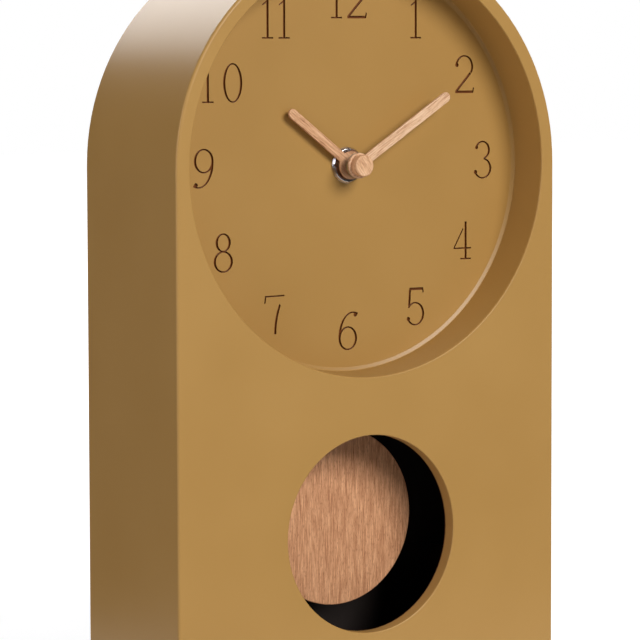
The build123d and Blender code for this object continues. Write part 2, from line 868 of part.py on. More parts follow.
def movement_housing():
    """The moulded shell that holds the works and the battery."""
    half = movement_height / 2
    shell = slab(body_outline(movement_width, -half, half, movement_corner), movement_front, movement_back)
    bay = block(-works_half_width, works_half_width, bay_low, bay_high, movement_inner_front,
                movement_back + cut_over)
    works = block(-works_half_width, works_half_width, works_low, works_high, plate_front,
                  movement_back + cut_over)
    ledge = ledge_width
    motion = block(ledge - works_half_width, works_half_width - ledge, works_low + ledge, works_high - ledge,
                   movement_inner_front, movement_back)
    lid = block(-movement_width, movement_width, bay_high, movement_height, cover_front,
                movement_back + cut_over)
    shell = shell - bay - works - motion - lid
    shell = shell - peg(0, 0, bush_radius + push_fit, movement_front - cut_over,
                        movement_inner_front + cut_over)
    hole_front = movement_inner_front - pivot_length - pivot_end_room
    shell = shell - pivot_hole(change_place, hole_front, movement_inner_front + cut_over)
    notch = contact_thickness + seat_play
    for side in (-1, 1):
        inner = side * (works_half_width - notch)
        outer = side * works_half_width
        shell = shell - block(min(inner, outer), max(inner, outer), bay_high - cut_over, works_low + cut_over,
                              contact_front - seat_play, board_front + seat_play)
    return shell


def movement_cover():
    """The back lid over the works, which holds the rear pivots."""
    half = movement_height / 2
    outline = body_outline(movement_width, -half, half, movement_corner)
    lid = slab(outline, cover_front, movement_back)
    lid = lid & block(-movement_width, movement_width, bay_high, movement_height, cover_front, movement_back)
    hole_back = cover_front + pivot_length + pivot_end_room
    for place in (axis_place, third_place, second_place, intermediate_place, rotor_place):
        lid = lid - pivot_hole(place, cover_front - cut_over, hole_back)
    clear = knob_arbor_radius + plate_hole_clearance
    return lid - peg(*change_place, clear, cover_front - cut_over, movement_back + cut_over)


def threaded_bush():
    """The brass bush that passes through the dial and carries the hour tube."""
    flange_back = movement_inner_front + bush_flange_thickness
    return turned([(bush_front, bush_bore), (bush_front, bush_radius), (movement_inner_front, bush_radius),
                   (movement_inner_front, bush_flange_radius), (flange_back, bush_flange_radius),
                   (flange_back, bush_bore)])


def post_places():
    """The two posts that hold the stator and the coil's core."""
    x = stator_half_length - stator_arm_width / 2
    return [(-x, coil_z), (x, coil_z)]


def board_post_places():
    """The two posts under the circuit board."""
    x = board_left + board_width / 2
    return [(x, board_low + board_post_inset), (x, board_low + board_height - board_post_inset)]


def middle_plate():
    """The plate between the motion work and the train, with the posts for motor and board."""
    plate = block(seat_play - works_half_width, works_half_width - seat_play, works_low + seat_play,
                  works_high - seat_play, plate_front, plate_back)
    plate = plate - peg(0, 0, centre_seat_radius + plate_hole_clearance, plate_front - cut_over,
                        plate_back + cut_over)
    plate = plate - peg(*change_place, knob_arbor_radius + plate_hole_clearance, plate_front - cut_over,
                        plate_back + cut_over)
    hole_front = plate_back - pivot_length - pivot_end_room
    for place in (third_place, second_place, intermediate_place, rotor_place):
        plate = plate - pivot_hole(place, hole_front, plate_back + cut_over)
    for x, z in post_places():
        plate = plate + peg(x, z, post_radius, plate_back, stator_front)
        plate = plate + peg(x, z, post_pin_radius, plate_back, core_back)
    for x, z in board_post_places():
        plate = plate + peg(x, z, board_post_inset / 2, plate_back, board_front)
    return plate


# Motor

stator_front = plate_back + stator_lift
stator_back = stator_front + stator_thickness
core_back = stator_back + core_thickness
coil_z = rotor_place[1] + coil_height_over_rotor
coil_depth = stator_back + core_thickness / 2
coil_left = coil_center_offset - coil_length / 2
board_left = seat_play - works_half_width
board_low = works_low + seat_play
board_front = plate_back + board_lift
board_back = board_front + board_thickness
contact_front = plate_back + seat_play


def stator():
    """The flat iron plate that leads the coil's field round the rotor."""
    x, z = rotor_place
    band = block(-stator_half_length, stator_half_length, z - stator_band / 2, z + stator_band / 2,
                 stator_front, stator_back)
    arm_high = coil_z + stator_arm_width / 2
    for side in (-1, 1):
        edges = (side * stator_half_length, side * (stator_half_length - stator_arm_width))
        band = band + block(min(edges), max(edges), z, arm_high, stator_front, stator_back)
    hole_radius = rotor_radius + rotor_gap
    band = band + peg(x, z, hole_radius + stator_ring_width, stator_front, stator_back)
    band = band - peg(x, z, hole_radius, stator_front - cut_over, stator_back + cut_over)
    for px, pz in post_places():
        band = band - peg(px, pz, post_pin_radius + push_fit, stator_front - cut_over, stator_back + cut_over)
    return band


def coil_core():
    """The iron bar through the coil, laid on the ends of the stator."""
    bar = block(-stator_half_length, stator_half_length, coil_z - core_band / 2, coil_z + core_band / 2,
                stator_back, core_back)
    for x, z in post_places():
        bar = bar - peg(x, z, post_pin_radius + push_fit, stator_back - cut_over, core_back + cut_over)
    return bar


def round_bar(left, right, radius):
    """A round piece along X on the coil's axis."""
    middle = Pos((left + right) / 2, row_y(coil_depth), dial_height + coil_z)
    return middle * Rot(0, 90, 0) * Cylinder(radius, right - left)


def coil_bobbin():
    """The plastic spool of the motor's coil, slid over the core."""
    right = coil_left + coil_length
    spool = round_bar(coil_left, right, bobbin_tube_radius)
    spool = spool + round_bar(coil_left, coil_left + bobbin_flange_thickness, bobbin_flange_radius)
    spool = spool + round_bar(right - bobbin_flange_thickness, right, bobbin_flange_radius)
    half = core_band / 2 + push_fit
    return spool - block(coil_left - cut_over, right + cut_over, coil_z - half, coil_z + half,
                         stator_back - push_fit, core_back + push_fit)


def motor_coil():
    """The copper winding of the motor."""
    left = coil_left + bobbin_flange_thickness + push_fit
    right = coil_left + coil_length - bobbin_flange_thickness - push_fit
    hole = round_bar(left - cut_over, right + cut_over, bobbin_tube_radius + push_fit)
    return round_bar(left, right, coil_radius) - hole


# Circuit board

def circuit_board():
    """The board that counts the seconds and drives both coils."""
    return block(board_left, board_left + board_width, board_low, board_low + board_height,
                 board_front, board_back)


def quartz_crystal():
    """The small can of the crystal, lying on the board."""
    x = board_left + board_width * crystal_place_share
    z = board_low + board_height / 2
    depth = board_front - crystal_radius - push_fit
    return Pos(x, row_y(depth), dial_height + z) * Cylinder(crystal_radius, crystal_length)


def controller_chip():
    """The sealed drop over the chip."""
    x = board_left + board_width * chip_place_share
    z = board_low + board_height / 2
    drop = peg(x, z, chip_radius, board_front - chip_height, board_front)
    return fillet(drop.edges().filter_by(GeomType.CIRCLE).group_by(Axis.Y)[0], chip_edge)


# Battery

def lying_bar(left, right, radius):
    """A round piece along X on the battery's axis."""
    middle = Pos((left + right) / 2, row_y(battery_depth), dial_height + battery_z)
    return middle * Rot(0, 90, 0) * Cylinder(radius, right - left)


def battery():
    """The cell, with its small pole at the right."""
    half = battery_length / 2
    can = lying_bar(-half, half - battery_nub_length, battery_radius)
    can = fillet(can.edges().filter_by(GeomType.CIRCLE), battery_edge)
    return can + lying_bar(half - battery_nub_length - battery_edge, half, battery_nub_radius)


def battery_contact(side):
    """A contact strip against the end wall, with the button that meets the cell's pole."""
    wall = works_half_width
    face = wall - contact_thickness
    half = contact_width / 2
    low = battery_z - half
    high = works_low + contact_rise
    edges = (side * face, side * wall)
    strip = block(min(edges), max(edges), low, high, contact_front, board_front)
    button_edges = (side * face, side * (battery_length / 2 + contact_air))
    return strip + lying_bar(min(button_edges), max(button_edges), contact_button_radius)


def positive_contact():
    """The contact at the right, whose arm runs over the bay wall to the circuit board."""
    arm = block(-contact_arm_reach, works_half_width, works_low, works_low + contact_thickness,
                contact_front, board_front)
    return battery_contact(1) + arm


# Hands

def hand_outline(length, width, hub_radius, angle):
    """A straight hand with a round end and a round hub, pointing at a clock angle."""
    reach = length - width / 2
    blade = Pos(0, reach / 2) * Rectangle(width, reach) + Pos(0, reach) * Circle(width / 2)
    return Pos(0, dial_height) * Rot(0, 0, -angle) * (blade + Circle(hub_radius))


def hour_hand():
    face = hand_outline(hour_hand_length, hour_hand_width, hour_hub_radius, hour_angle)
    hand = slab(face, hour_hand_front, hour_hand_back)
    hand = fillet(hand.faces().sort_by(Axis.Y)[0].outer_wire().edges(), hand_edge_round)
    bore = hour_collet_radius + push_fit
    return hand - peg(0, 0, bore, hour_hand_front - cut_over, hour_hand_back + cut_over)


def hour_collet():
    """The metal sleeve that grips the hour tube."""
    return tube(hour_tube_front, hour_hand_back, hour_collet_radius, hour_tube_radius + push_fit)


def minute_hand():
    face = hand_outline(minute_hand_length, minute_hand_width, minute_hub_radius, minute_angle)
    hand = slab(face, minute_hand_front, minute_plate_front)
    hand = fillet(hand.faces().sort_by(Axis.Y)[0].outer_wire().edges(), hand_edge_round)
    bore = minute_arbor_radius + push_fit
    return hand - peg(0, 0, bore, minute_hand_front - cut_over, minute_plate_front + cut_over)


def minute_collet():
    """The thin metal plate behind the minute hand's hub, with the collar that grips the arbor."""
    bore = minute_arbor_radius + push_fit
    return turned([(minute_plate_front, bore), (minute_plate_front, minute_plate_radius),
                   (minute_plate_back, minute_plate_radius), (minute_plate_back, minute_collar_radius),
                   (minute_collar_back, minute_collar_radius), (minute_collar_back, bore)])


def centre_cap():
    """The turned wooden cap on the minute hand's hub."""
    cap = peg(0, 0, cap_radius, cap_front, minute_hand_front)
    return fillet(cap.edges().filter_by(GeomType.CIRCLE).group_by(Axis.Y)[0], cap_edge)


# Pendulum drive

def swing_slot_half():
    """Half the width of the slot that the swinging rocker needs in the bottom of its box."""
    drop = drive_pin_z - drive_low
    lean = radians(swing_limit)
    return drop * sin(lean) + rocker_width / 2 / cos(lean) + rocker_slot_clearance


def pendulum_box():
    """The box under the movement that holds the pendulum's pivot and its coil."""
    outline = body_outline(drive_width, drive_low, drive_top, drive_corner)
    shell = slab(outline, drive_front, drive_cover_front)
    half = drive_width / 2 - movement_wall
    shell = shell - block(-half, half, drive_low + movement_wall, drive_top - movement_wall,
                          drive_inner_front, drive_cover_front + cut_over)
    slot = swing_slot_half()
    shell = shell - block(-slot, slot, drive_low - cut_over, drive_low + movement_wall + cut_over,
                          rocker_front - rocker_slot_clearance, drive_cover_front + cut_over)
    hole_front = drive_inner_front - drive_pin_depth
    return shell - peg(0, drive_pin_z, drive_pin_radius + push_fit, hole_front, drive_cover_front)


def pendulum_box_cover():
    """The lid of the pendulum box."""
    outline = body_outline(drive_width, drive_low, drive_top, drive_corner)
    lid = slab(outline, drive_cover_front, movement_back)
    hole_back = drive_cover_front + drive_pin_depth
    return lid - peg(0, drive_pin_z, drive_pin_radius + push_fit, drive_cover_front - cut_over, hole_back)


def pivot_pin():
    """The pin that the pendulum swings on."""
    front = drive_inner_front - drive_pin_depth
    return peg(0, drive_pin_z, drive_pin_radius, front, drive_cover_front + drive_pin_depth)


def drive_coil_back():
    """Depth of the back of the drive coil's spool, just in front of the magnet."""
    return rocker_front - magnet_thickness - drive_coil_room


def drive_bobbin():
    """The spool of the coil that keeps the pendulum swinging."""
    front = drive_inner_front
    back = drive_coil_back()
    bore = drive_bobbin_tube / 2
    return turned([(front, bore), (front, drive_bobbin_radius),
                   (front + drive_bobbin_flange, drive_bobbin_radius),
                   (front + drive_bobbin_flange, drive_bobbin_tube),
                   (back - drive_bobbin_flange, drive_bobbin_tube),
                   (back - drive_bobbin_flange, drive_bobbin_radius),
                   (back, drive_bobbin_radius), (back, bore)], 0, drive_coil_z)


def drive_coil():
    """The copper winding of the pendulum's coil."""
    front = drive_inner_front + drive_bobbin_flange + push_fit
    back = drive_coil_back() - drive_bobbin_flange - push_fit
    return tube(front, back, drive_coil_radius, drive_bobbin_tube + push_fit, 0, drive_coil_z)


def pendulum_rocker():
    """The arm that swings on the pin, with its magnet seat and the hook for the rod."""
    half = rocker_width / 2
    arm = block(-half, half, rocker_low, drive_pin_z, rocker_front, rocker_back)
    arm = arm + peg(0, drive_coil_z, rocker_eye_radius, rocker_front, rocker_back)
    arm = arm + peg(0, drive_pin_z, rocker_hub_radius, rocker_back - rocker_hub_length, rocker_back)
    head_front = rod_front - rod_play - hook_head_thickness
    arm = arm + peg(0, hook_z, hook_radius, head_front, rocker_front)
    arm = arm + peg(0, hook_z, hook_head_radius, head_front, head_front + hook_head_thickness)
    bore = drive_pin_radius + running_fit
    return arm - peg(0, drive_pin_z, bore, rocker_back - rocker_hub_length - cut_over, rocker_back + cut_over)


def rocker_magnet():
    """The magnet that the drive coil pushes."""
    return peg(0, drive_coil_z, magnet_radius, rocker_front - magnet_thickness, rocker_front)


def pendulum_rod():
    """The flat metal rod that hangs on the hook and carries the bob."""
    low = bob_z - bob_radius * rod_tail_share
    half = rod_width / 2
    rod = block(-half, half, low, hook_z, rod_front, rod_back)
    rod = rod + peg(0, hook_z, rod_eye_radius, rod_front, rod_back)
    return rod - peg(0, hook_z, hook_radius + rod_play, rod_front - cut_over, rod_back + cut_over)


def bob_disc():
    """The wooden disc that shows in the window."""
    disc = peg(0, bob_z, bob_radius, bob_front, bob_back)
    return fillet(disc.edges().filter_by(GeomType.CIRCLE).group_by(Axis.Y)[0], bob_edge)


def bob_clip():
    """The holder glued to the back of the bob, with the channel for the rod."""
    wide = rod_width / 2 + clip_wing
    tall = bob_radius * clip_height_share / 2
    clip = block(-wide, wide, bob_z - tall, bob_z + tall, bob_back, clip_back)
    half = rod_width / 2 + rod_play / 2
    return clip - block(-half, half, bob_z - bob_radius, bob_z + bob_radius,
                        rod_front - rod_play, rod_back + rod_play / 2)


pieces = {
    "front_panel": front_panel(),
    "arch_surround": arch_surround(),
    "base_panel": base_panel(),
    "screw_blocks": screw_blocks(),
    "back_panel": back_panel(),
    "back_screws": back_screws(),
    "feet": feet(),
    "dial_ring": dial_ring(),
    "dial_plate": dial_plate(),
    "dial_gasket": dial_gasket(),
    "dial_washer": dial_washer(),
    "dial_nut": dial_nut(),
    "threaded_bush": threaded_bush(),
    "movement_housing": movement_housing(),
    "movement_cover": movement_cover(),
    "middle_plate": middle_plate(),
    "stator": stator(),
    "coil_core": coil_core(),
    "coil_bobbin": coil_bobbin(),
    "motor_coil": motor_coil(),
    "circuit_board": circuit_board(),
    "quartz_crystal": quartz_crystal(),
    "controller_chip": controller_chip(),
    "battery": battery(),
    "negative_contact": battery_contact(-1),
    "positive_contact": positive_contact(),
    "rotor": rotor(),
    "intermediate_wheel": intermediate_wheel(),
    "second_wheel": second_wheel(),
    "third_wheel": third_wheel(),
    "centre_wheel": centre_wheel(),
    "minute_arbor": minute_arbor(),
    "change_wheel": change_wheel(),
    "hour_wheel": hour_wheel(),
    "setting_knob": setting_knob(),
    "hour_hand": hour_hand(),
    "hour_collet": hour_collet(),
    "minute_hand": minute_hand(),
    "minute_collet": minute_collet(),
    "centre_cap": centre_cap(),
    "pendulum_box": pendulum_box(),
    "pendulum_box_cover": pendulum_box_cover(),
    "pivot_pin": pivot_pin(),
    "drive_bobbin": drive_bobbin(),
    "drive_coil": drive_coil(),
    "pendulum_rocker": pendulum_rocker(),
    "rocker_magnet": rocker_magnet(),
    "pendulum_rod": pendulum_rod(),
    "bob_disc": bob_disc(),
    "bob_clip": bob_clip(),
}

os.makedirs("parts", exist_ok=True)
for name, piece in pieces.items():
    export_step(piece, f"parts/{name}.step")
    print(name, "volume", round(piece.volume, 2))
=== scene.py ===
# %% [markdown]
# A desk clock with a pendulum, dressed for a studio picture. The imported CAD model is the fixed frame: every
# node already stands at its real place, in metres, with +Z up and the dial facing -Y. This script gives each
# node its finish, adds the finer pieces that a picture needs, and sets up the light and the camera.

# %% Load the frame
import bmesh
import bpy
import numpy as np
from math import cos, radians, sin
from mathutils import Matrix, Vector


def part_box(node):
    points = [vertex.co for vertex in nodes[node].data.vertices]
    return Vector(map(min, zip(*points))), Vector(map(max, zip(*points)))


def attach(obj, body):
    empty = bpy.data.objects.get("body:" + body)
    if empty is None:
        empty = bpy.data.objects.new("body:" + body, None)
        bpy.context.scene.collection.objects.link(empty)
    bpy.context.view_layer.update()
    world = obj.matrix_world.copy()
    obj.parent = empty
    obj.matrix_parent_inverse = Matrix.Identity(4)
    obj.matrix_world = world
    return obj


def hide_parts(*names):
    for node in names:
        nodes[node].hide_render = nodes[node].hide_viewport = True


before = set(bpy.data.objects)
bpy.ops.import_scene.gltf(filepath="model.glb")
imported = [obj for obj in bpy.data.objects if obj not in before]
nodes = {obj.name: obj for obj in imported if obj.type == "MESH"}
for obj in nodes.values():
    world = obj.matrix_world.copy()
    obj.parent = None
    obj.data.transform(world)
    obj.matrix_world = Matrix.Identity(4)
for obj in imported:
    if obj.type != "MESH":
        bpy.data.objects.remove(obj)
studio = bpy.context.scene
millimetre = 0.001
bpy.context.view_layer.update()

# %% [markdown]
# The camera stands where the photographer stood: to the left of the clock and a little above its middle, far
# away with a long lens, so that the upright edges stay nearly parallel. Its place comes from matching the
# rims of the dial and of the window, whose real sizes are known. The picture is square, 640 by 640.

# %% Camera
camera_azimuth = radians(-33.04)
camera_elevation = radians(4.57)
camera_roll = radians(-0.14)
camera_distance = 1.40045
camera_lens = 194.77
camera_target = Vector((-0.00513, -0.005, 0.14713))

to_camera = Vector((sin(camera_azimuth) * cos(camera_elevation),
                    -cos(camera_azimuth) * cos(camera_elevation), sin(camera_elevation)))
level_right = Vector((cos(camera_azimuth), sin(camera_azimuth), 0))
level_up = to_camera.cross(level_right)
camera_right = cos(camera_roll) * level_right + sin(camera_roll) * level_up
camera_axes = Matrix((camera_right, to_camera.cross(camera_right), to_camera)).transposed()
camera = bpy.data.objects.new("camera", bpy.data.cameras.new("camera"))
studio.collection.objects.link(camera)
camera.data.lens = camera_lens
camera.matrix_world = Matrix.Translation(camera_target + to_camera * camera_distance) @ camera_axes.to_4x4()
studio.camera = camera
print("camera at", [round(v, 3) for v in camera.location])

# %% [markdown]
# The studio has one wide softbox in front, a little to the right and well above. It throws the hands' soft
# shadows to their lower left and shades the top of the bob. A second one to the left lights that side at
# about half the front's level, and is a little bluer. Two more, to the right and behind, keep the other
# sides readable and hardly reach the front. Each is an oval area lamp aimed at the dial, and together they
# are just strong enough for a colour on the front to render about as it is written. The world is a dim grey
# that fills the shadows, and white where it is seen, in a mirror too.

# %% Lamps and world
lamp_target = Vector((0, -0.02, 0.16))
lamp_distance = 4.0


def softbox(name, azimuth, elevation, width, height, power, colour=(1, 1, 1)):
    """An oval area lamp at a direction from the dial, in degrees: azimuth 0 is in front, positive right."""
    turn, rise = radians(azimuth), radians(elevation)
    direction = Vector((sin(turn) * cos(rise), -cos(turn) * cos(rise), sin(rise)))
    lamp = bpy.data.lights.new(name, "AREA")
    lamp.shape = "ELLIPSE"
    lamp.size = width
    lamp.size_y = height
    lamp.energy = power
    lamp.color = colour
    holder = bpy.data.objects.new(name, lamp)
    studio.collection.objects.link(holder)
    holder.location = lamp_target + direction * lamp_distance
    holder.rotation_euler = direction.to_track_quat("Z", "Y").to_euler()
    print(name, "at", [round(v, 2) for v in holder.location], power, "W")


softbox("front_softbox", 11, 28, 2.6, 1.7, 147)
softbox("left_softbox", -80, 12, 2.6, 2.8, 59, (1.0, 0.98, 1.06))
softbox("right_softbox", 106, 14, 2.4, 2.8, 34)
softbox("back_softbox", 180, 34, 2.4, 2.0, 60)


def seen_directly(tree):
    """1 for camera, glossy and transmission rays and 0 for the rest: the largest of the three."""
    path = tree.nodes.new("ShaderNodeLightPath")
    either = tree.nodes.new("ShaderNodeMath")
    either.operation = "MAXIMUM"
    any_of = tree.nodes.new("ShaderNodeMath")
    any_of.operation = "MAXIMUM"
    tree.links.new(path.outputs["Is Camera Ray"], either.inputs[0])
    tree.links.new(path.outputs["Is Glossy Ray"], either.inputs[1])
    tree.links.new(either.outputs[0], any_of.inputs[0])
    tree.links.new(path.outputs["Is Transmission Ray"], any_of.inputs[1])
    return any_of.outputs[0]


def world_light(level):
    """A dim grey world that is white where it is seen directly."""
    world = bpy.data.worlds.new("studio")
    studio.world = world
    world.use_nodes = True
    tree = world.node_tree
    tree.nodes.clear()
    fill = tree.nodes.new("ShaderNodeBackground")
    fill.inputs["Color"].default_value = (1, 1, 1, 1)
    fill.inputs["Strength"].default_value = level
    white = tree.nodes.new("ShaderNodeBackground")
    white.inputs["Color"].default_value = (1, 1, 1, 1)
    white.inputs["Strength"].default_value = 1
    choose = tree.nodes.new("ShaderNodeMixShader")
    tree.links.new(seen_directly(tree), choose.inputs[0])
    tree.links.new(fill.outputs[0], choose.inputs[1])
    tree.links.new(white.outputs[0], choose.inputs[2])
    output = tree.nodes.new("ShaderNodeOutputWorld")
    tree.links.new(choose.outputs[0], output.inputs["Surface"])


world_light(0.02)
studio.view_settings.view_transform = "Standard"

# %% [markdown]
# Finishes come next. A colour is written as a display shows it, from 0 to 255, because that is how a maker
# reads it off a photograph, and one function turns it into the linear values that Blender's sockets hold.
# Small helpers add nodes, so that each finish below reads as a short recipe.

# %% Helpers for finishes


def shown(red, green, blue):
    """A display colour, 0 to 255, as the linear colour of a socket: the display's power curve, undone."""
    share = np.array([red, green, blue]) / 255
    low = share / 12.92
    high = ((share + 0.055) / 1.055) ** 2.4
    return (*np.where(share <= 0.04045, low, high).tolist(), 1.0)


def new_finish(name):
    """A material with nodes, and its main shader."""
    finish = bpy.data.materials.new(name)
    finish.use_nodes = True
    return finish, finish.node_tree, finish.node_tree.nodes["Principled BSDF"]


def add(tree, kind, inputs, **settings):
    """Add one node, set its settings, and give each input a value or a link."""
    made = tree.nodes.new(kind)
    for name, value in settings.items():
        setattr(made, name, value)
    for key, value in inputs.items():
        if isinstance(value, bpy.types.NodeSocket):
            tree.links.new(value, made.inputs[key])
        else:
            made.inputs[key].default_value = value
    return made


def place(tree, stretch=(1, 1, 1), turn=(0, 0, 0), move=(0, 0, 0)):
    """Object coordinates for a pattern that is stretched along its own axes, then turned, then moved."""
    where = add(tree, "ShaderNodeTexCoord", {})
    mapping = add(tree, "ShaderNodeMapping", {"Vector": where.outputs["Object"], "Location": move,
                                              "Rotation": turn, "Scale": stretch}, vector_type="TEXTURE")
    return mapping.outputs["Vector"]


def cloud(tree, where, size, detail=3, rough=0.5):
    """Smooth noise whose lumps have this size in metres."""
    noise = add(tree, "ShaderNodeTexNoise", {"Vector": where, "Scale": 1 / size, "Detail": detail,
                                             "Roughness": rough})
    return noise.outputs["Fac"]


def ramp(tree, share, *stops):
    """A colour ramp: each stop is a place from 0 to 1 and a colour or a grey."""
    made = add(tree, "ShaderNodeValToRGB", {"Fac": share})
    points = made.color_ramp.elements
    while len(points) < len(stops):
        points.new(0.5)
    for point, (where, colour) in zip(points, stops):
        point.position = where
        point.color = colour if isinstance(colour, tuple) else (colour, colour, colour, 1)
    return made.outputs["Color"]


def mix(tree, share, first, second):
    """Mix two colours by a share."""
    made = add(tree, "ShaderNodeMix", {0: share, 6: first, 7: second}, data_type="RGBA")
    return made.outputs[2]


def maths(tree, kind, first, second=0.0):
    """One sum on numbers."""
    return add(tree, "ShaderNodeMath", {0: first, 1: second}, operation=kind).outputs[0]


def between(tree, value, low, high):
    """0 below the low value, 1 above the high one, and an even rise between them."""
    made = add(tree, "ShaderNodeMapRange", {"Value": value, "From Min": low, "From Max": high})
    return made.outputs["Result"]


def relief(tree, shader, height, depth, strength=1.0):
    """Bump: the surface rises by up to depth metres where height is 1."""
    bump = add(tree, "ShaderNodeBump", {"Height": height, "Distance": depth, "Strength": strength})
    tree.links.new(bump.outputs["Normal"], shader.inputs["Normal"])


print("helpers for finishes are ready")

# %% [markdown]
# The case is board under a satin ochre lacquer. Sprayed lacquer is even, so its colour drifts by only a few
# parts in a hundred, over centimetres, and a very fine orange-peel relief softens the reflections. Inside the
# arch and behind the front board the finish turns near-black, painted shade for the dark room in the case:
# it finds that place by where a point is, so that one material serves the whole case. The dial is a slightly
# deeper tone, painted shade for the recess it sits in. Where its numerals are cut, the finish turns a deep
# brown with depth, painted shade in the grooves, and its back is near-black, the same painted shade.

# %% Lacquered board
case_tones = shown(174, 133, 71), shown(176, 135, 73), shown(178, 137, 75)
# a few levels darker than the case: painted shade of the deep recess
recess_shaded_tones = shown(169, 128, 66), shown(171, 130, 68), shown(173, 132, 70)
# deep brown: painted shade in the cut numerals' grooves
groove_shade_brown = shown(106, 54, 10)
# near-black: painted shade for the dark inside of the case, the dial's back and the screw blocks
interior_shade_colour = shown(56, 26, 14)
drift_size = 60 * millimetre
peel_size = 0.9 * millimetre
peel_depth = 0.004 * millimetre
satin = 0.36


def lacquer(name, tones, layers, gloss):
    """Satin lacquer that drifts between three tones. Each layer over it is a pair: a function that gives its
    share at a point, and its colour."""
    finish, tree, shader = new_finish(name)
    where = place(tree)
    drift = cloud(tree, where, drift_size, detail=2)
    colour = ramp(tree, drift, *zip((0.35, 0.5, 0.65), tones))
    for share, layer_colour in layers:
        colour = mix(tree, share(tree, where), colour, layer_colour)
    tree.links.new(colour, shader.inputs["Base Color"])
    shader.inputs["Roughness"].default_value = satin
    shader.inputs["Specular IOR Level"].default_value = gloss
    relief(tree, shader, cloud(tree, where, peel_size, detail=2), peel_depth)
    return finish


arch_axis_height = 210 * millimetre
arch_inner_radius = 88 * millimetre
front_board_back = -29.5 * millimetre


# The mask for the near-black painted shade inside the case.
def inside_case(tree, where):
    """1 where a point is inside the arch and behind the front board: the distance from the arch's axis, or
    from the middle plane below it, is under the arch's inner radius, and Y is past the board's back."""
    parts = add(tree, "ShaderNodeSeparateXYZ", {0: where}).outputs
    above = maths(tree, "MAXIMUM", maths(tree, "SUBTRACT", parts["Z"], arch_axis_height), 0)
    reach = maths(tree, "SQRT", maths(tree, "ADD", maths(tree, "MULTIPLY", above, above),
                                      maths(tree, "MULTIPLY", parts["X"], parts["X"])))
    within = maths(tree, "LESS_THAN", reach, arch_inner_radius)
    behind = maths(tree, "GREATER_THAN", parts["Y"], front_board_back)
    return maths(tree, "MULTIPLY", within, behind)


dial_face = -17.2 * millimetre
# the painted shade in the numeral grooves starts just under the dial's face and is full by the next depth
groove_shade_start = dial_face + 0.08 * millimetre
groove_shade_end = dial_face + 0.45 * millimetre
under_numerals = dial_face + 1.3 * millimetre


def below_dial(tree, where):
    """Rises from 0 just under the dial's face to 1 nearly half a millimetre under it."""
    parts = add(tree, "ShaderNodeSeparateXYZ", {0: where}).outputs
    return between(tree, parts["Y"], groove_shade_start, groove_shade_end)


# the dial's back takes the near-black painted shade
def behind_dial(tree, where):
    """1 where a point lies deeper than the numerals are cut."""
    parts = add(tree, "ShaderNodeSeparateXYZ", {0: where}).outputs
    return maths(tree, "GREATER_THAN", parts["Y"], under_numerals)


# the case's lacquer, with near-black painted shade inside the arch
case_lacquer_and_shade = lacquer("case_lacquer_and_shade", case_tones, [(inside_case, interior_shade_colour)], 0.3)
# painted shade: deep brown in the numeral grooves, near-black on the dial's back
dial_layers = [(below_dial, groove_shade_brown), (behind_dial, interior_shade_colour)]
# the dial's lacquer, in a deeper tone that is painted shade of the recess, with the grooves' painted shade
dial_lacquer_and_shade = lacquer("dial_lacquer_and_shade", recess_shaded_tones, dial_layers, 0.35)
print("lacquer", case_lacquer_and_shade.name, dial_lacquer_and_shade.name)

# %% [markdown]
# The hands, the cap and the bob are oak. Oak shows long fine fibres, darker pores that are short dashes
# along the grain, and slow bands of colour. All three are noise stretched along the grain: some twenty times
# for the fibres on a long piece, and less for the pores and the bands. The same function serves each piece,
# turned to its own grain direction.

# %% Oak
fibre_width = 0.42 * millimetre
band_width = 3.2 * millimetre
pore_width = 0.3 * millimetre
band_stretch = 9
pore_stretch = 8
fibre_part = 0.72
grain_relief = 0.05 * millimetre


def oak(name, tones, lean, pore_strength, scale, fibre_stretch):
    """Oak of three tones, deep to pale. Its grain runs up Z, and lean turns it about Y, in radians. Its
    tone is mostly the fibre's noise and for the rest the slow band's; the pores are laid over it."""
    finish, tree, shader = new_finish(name)
    turn = (0, lean, 0)
    along = place(tree, (1, 1, fibre_stretch), turn)
    fibre = cloud(tree, along, fibre_width * scale, detail=5, rough=0.62)
    wide = place(tree, (1, 1, band_stretch), turn, (0.013, 0.007, 0.002))
    slow = cloud(tree, wide, band_width * scale, detail=3)
    tone = maths(tree, "ADD", maths(tree, "MULTIPLY", fibre, fibre_part),
                 maths(tree, "MULTIPLY", slow, 1 - fibre_part))
    colour = ramp(tree, tone, *zip((0.36, 0.50, 0.64), tones))
    short = place(tree, (1, 1, pore_stretch), turn, (0.004, 0.001, 0.003))
    dashes = cloud(tree, short, pore_width * scale, detail=2, rough=0.4)
    pores = ramp(tree, dashes, (0.57, 0.0), (0.68, 1.0))
    pore_colour = tuple(share * v for share, v in zip((0.5, 0.38, 0.3), tones[0][:3])) + (1,)
    colour = mix(tree, maths(tree, "MULTIPLY", pores, pore_strength), colour, pore_colour)
    tree.links.new(colour, shader.inputs["Base Color"])
    tree.links.new(ramp(tree, fibre, (0.3, 0.66), (0.7, 0.52)), shader.inputs["Roughness"])
    shader.inputs["Specular IOR Level"].default_value = 0.25
    height = maths(tree, "SUBTRACT", fibre, maths(tree, "MULTIPLY", pores, 0.8))
    relief(tree, shader, height, grain_relief, 0.6)
    return finish


